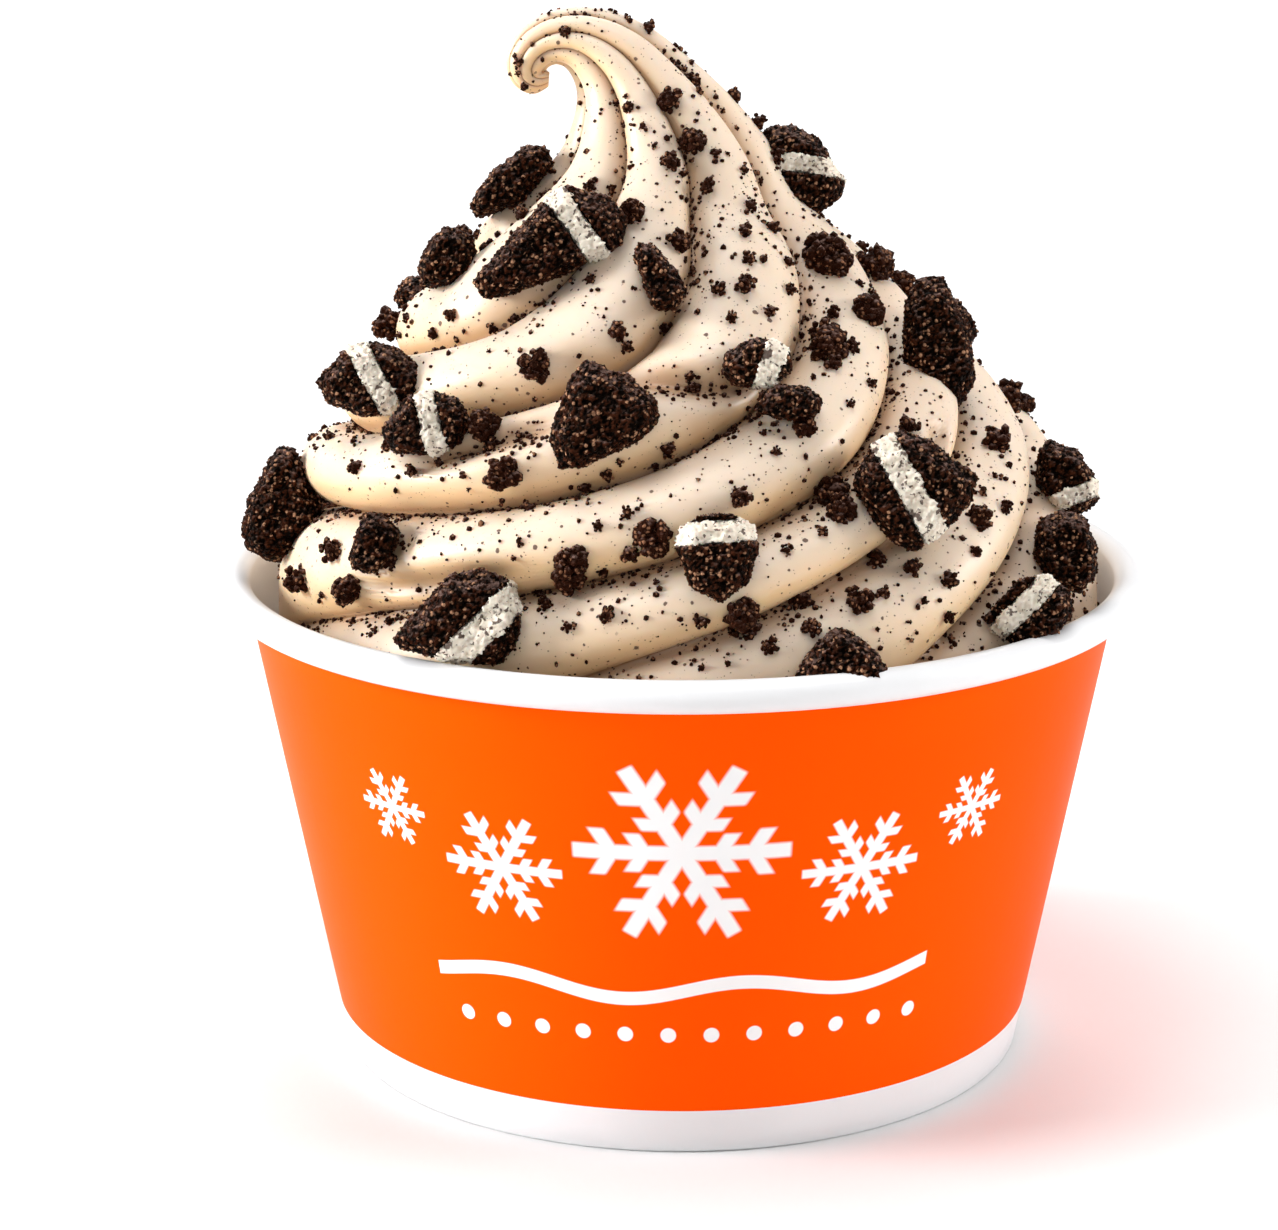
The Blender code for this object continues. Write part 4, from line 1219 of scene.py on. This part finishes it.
# The crumbs that can be told apart from the front: column, row and width in picture pixels.
SEEN_CRUMBS = (
    (515, 56, 7), (518, 73, 7), (524, 85, 10), (549, 14, 6), (566, 7, 8), (575, 14, 10), (604, 7, 14),
    (615, 13, 6), (626, 18, 7), (648, 29, 14), (675, 46, 7), (686, 54, 6), (737, 97, 16),
    (757, 121, 17), (581, 103, 6), (567, 137, 8), (671, 100, 25), (692, 81, 17), (684, 69, 8),
    (626, 96, 7), (630, 107, 13), (643, 126, 8), (654, 146, 9), (669, 163, 20), (682, 174, 11),
    (715, 153, 12), (727, 154, 6), (708, 187, 18), (723, 111, 7), (736, 128, 7), (743, 170, 10),
    (749, 206, 16), (768, 206, 6), (743, 232, 16), (771, 228, 16), (676, 243, 25), (749, 260, 16),
    (763, 260, 10), (787, 262, 12), (591, 281, 12), (720, 290, 16), (745, 287, 22), (789, 291, 13),
    (770, 312, 14), (732, 319, 14), (698, 312, 8), (668, 331, 15), (626, 347, 15), (618, 332, 20),
    (452, 315, 14), (514, 319, 12), (493, 328, 12), (434, 333, 12), (408, 318, 10), (401, 335, 9),
    (490, 352, 6), (539, 304, 6), (536, 367, 32), (590, 188, 14), (611, 191, 12), (524, 216, 16),
    (478, 235, 10), (498, 235, 8), (825, 258, 42), (868, 315, 28), (828, 340, 34), (832, 315, 16),
    (852, 348, 16), (833, 366, 18), (871, 384, 12), (892, 350, 9), (871, 294, 10), (859, 284, 10),
    (690, 376, 12), (693, 390, 16), (331, 438, 13), (357, 467, 16), (387, 448, 14), (412, 471, 14),
    (440, 465, 11), (492, 446, 18), (520, 436, 10), (535, 399, 7), (535, 455, 6), (469, 489, 5),
    (667, 448, 18), (654, 465, 10), (607, 474, 14), (619, 462, 9), (584, 486, 14), (529, 509, 14),
    (492, 510, 12), (628, 514, 16), (598, 526, 12), (519, 542, 9), (514, 558, 8), (698, 480, 6),
    (740, 498, 22), (629, 552, 20), (334, 552, 24), (302, 580, 28), (354, 584, 22), (394, 561, 22),
    (420, 542, 7), (353, 623, 11), (391, 623, 11), (323, 595, 8), (538, 590, 12), (547, 606, 16),
    (569, 574, 33), (603, 571, 12), (656, 584, 9), (608, 615, 18), (569, 627, 14), (701, 620, 16),
    (745, 630, 32), (770, 648, 18), (702, 669, 9), (728, 664, 8), (639, 678, 7), (776, 453, 12),
    (764, 434, 8), (805, 429, 25), (850, 405, 11), (814, 378, 8), (909, 429, 22), (834, 497, 34),
    (822, 533, 13), (787, 551, 13), (912, 569, 20), (948, 580, 18), (975, 552, 12), (991, 574, 7),
    (1004, 508, 15), (995, 443, 28), (1009, 466, 8), (995, 477, 8), (982, 494, 12), (977, 520, 26),
    (876, 563, 22), (801, 603, 22), (859, 602, 29), (882, 594, 16), (923, 601, 10), (947, 615, 14),
    (908, 622, 6), (877, 629, 6), (911, 640, 6), (811, 629, 20), (1007, 390, 16), (1021, 408, 22),
)


def seen_places():
    # Follows each picture point from the camera to the swirl, or to the nearest of its edge.
    crest_points = swirl_points.reshape(-1, 3)
    tree = bvhtree.BVHTree.FromPolygons(crest_points.tolist(), ring_quads(swirl_points))
    eye = np.array(camera.location) / MM
    forward = np.array((0.0, math.cos(CAMERA_ELEVATION), -math.sin(CAMERA_ELEVATION)))
    upward = np.array((0.0, math.sin(CAMERA_ELEVATION), math.cos(CAMERA_ELEVATION)))
    away = crest_points - eye
    depth = away @ forward
    columns = CUP_AXIS_COLUMN + FOCAL_PIXELS * away[:, 0] / depth
    rows = FRAME_HEIGHT / 2 - FOCAL_PIXELS * (away @ upward) / depth
    places = []
    for column, row, width in SEEN_CRUMBS:
        ray = forward + upward * (FRAME_HEIGHT / 2 - row) / FOCAL_PIXELS
        ray[0] = (column - CUP_AXIS_COLUMN) / FOCAL_PIXELS
        spot, normal, _, _ = tree.ray_cast(Vector(eye), Vector(ray).normalized())
        if spot is None:
            nearest = int(np.hypot(columns - column, rows - row).argmin())
            spot = Vector(crest_points[nearest])
            normal = Vector(swirl_normals.reshape(-1, 3)[nearest])
        if normal.dot(Vector(ray)) > 0.0:
            normal = -normal
        size = SEEN_SPREAD * width * (spot - Vector(eye)).length / FOCAL_PIXELS
        place = np.array(spot + normal * size * SEEN_RISE)
        places.append((below_top(place, size), size))
    return places


def surface_places(draw, count, low, high, spacing, level_share, behind):
    # Random places on the swirl above the rim, mostly where it faces up or along a crease.
    columns = swirl_points.shape[1]
    edge_row = swirl_points[1:, :] - swirl_points[:-1, :]
    edge_col = np.roll(swirl_points, -1, axis=1)[:-1] - swirl_points[:-1]
    cross = np.cross(edge_col, edge_row)
    area = np.linalg.norm(cross, axis=-1)
    facing = cross[..., 2] / np.maximum(area, 1e-9)
    weight = area * np.clip(facing + level_share, LEAST_SHARE, 1.0)
    weight = weight * (1.0 + CREASE_SHARE * swirl_hollow[:-1])
    weight[swirl_points[:-1, :, 2] < LOWEST_CRUMB] = 0.0
    if behind:
        weight[swirl_points[:-1, :, 1] < BEHIND_FROM] = 0.0
    chance = (weight / weight.sum()).ravel()
    picks = draw.choice(len(chance), size=count * 4, p=chance)
    places = []
    taken = []
    for pick in picks:
        row, column = divmod(int(pick), columns)
        spot = swirl_points[row, column] + edge_row[row, column] * draw.uniform()
        spot = spot + edge_col[row, column] * draw.uniform()
        drift = noise.noise(Vector(spot) * DRIFT_PITCH) + DRIFT_LIFT
        if draw.uniform(*DRIFT_RANGE) > drift:
            continue
        latest = taken[-LATEST_PLACES:]
        if latest and min((Vector(spot) - other).length for other in latest) < spacing:
            continue
        taken.append(Vector(spot))
        normal = cross[row, column] / max(area[row, column], 1e-9)
        size = low + (high - low) * draw.uniform() ** SIZE_SKEW
        places.append((below_top(spot + normal * size * CRUMB_RISE, size), size))
        if len(places) == count:
            break
    return places


crumb_dark = cookie_finish(
    "crumb_dark",
    pit_shade_tone=(0.0012, 0.0003, 0.0002),
    grain_tone=(0.028, 0.0072, 0.0032),
    glint_tone=(0.26, 0.12, 0.065),
)
grain_shape = grain_template()
draw = np.random.default_rng(23)

lump_places = [(*seen_place(column, row, 0.0), size) for column, row, size in FRONT_LUMPS]
lumps = []
for azimuth, height, size in lump_places + list(BACK_LUMPS):
    target, _, _, _ = crest_point(azimuth, height, 0.0)
    distance = np.linalg.norm(swirl_points - np.array(target), axis=-1)
    row, column = np.unravel_index(int(distance.argmin()), distance.shape)
    spot = swirl_points[row, column] + swirl_normals[row, column] * LUMP_RISE * size
    lumps.extend(crumb_cluster(draw, spot, size, LUMP_GRAINS))
lump_piece = show("crumb_lumps", joined_mesh("crumb_lumps", lumps), crumb_dark)

coarse_places = seen_places() + surface_places(
    draw, count=210, low=1.0, high=2.8, spacing=1.6, level_share=0.35, behind=True
)
coarse = []
for spot, size in coarse_places:
    coarse.extend(crumb_cluster(draw, spot, size, max(FEWEST_GRAINS, int(size * GRAINS_PER_MM))))
coarse_piece = show("crumbs_coarse", joined_mesh("crumbs_coarse", coarse), crumb_dark)

fine_places = surface_places(
    draw, count=7500, low=0.25, high=0.9, spacing=0.2, level_share=0.5, behind=False
)
fine = []
for spot, size in fine_places:
    fine.extend(crumb_cluster(draw, spot, size, 1))
fine_piece = show("crumbs_fine", joined_mesh("crumbs_fine", fine), crumb_dark)

for piece in (lump_piece, coarse_piece, fine_piece):
    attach(piece, "root")
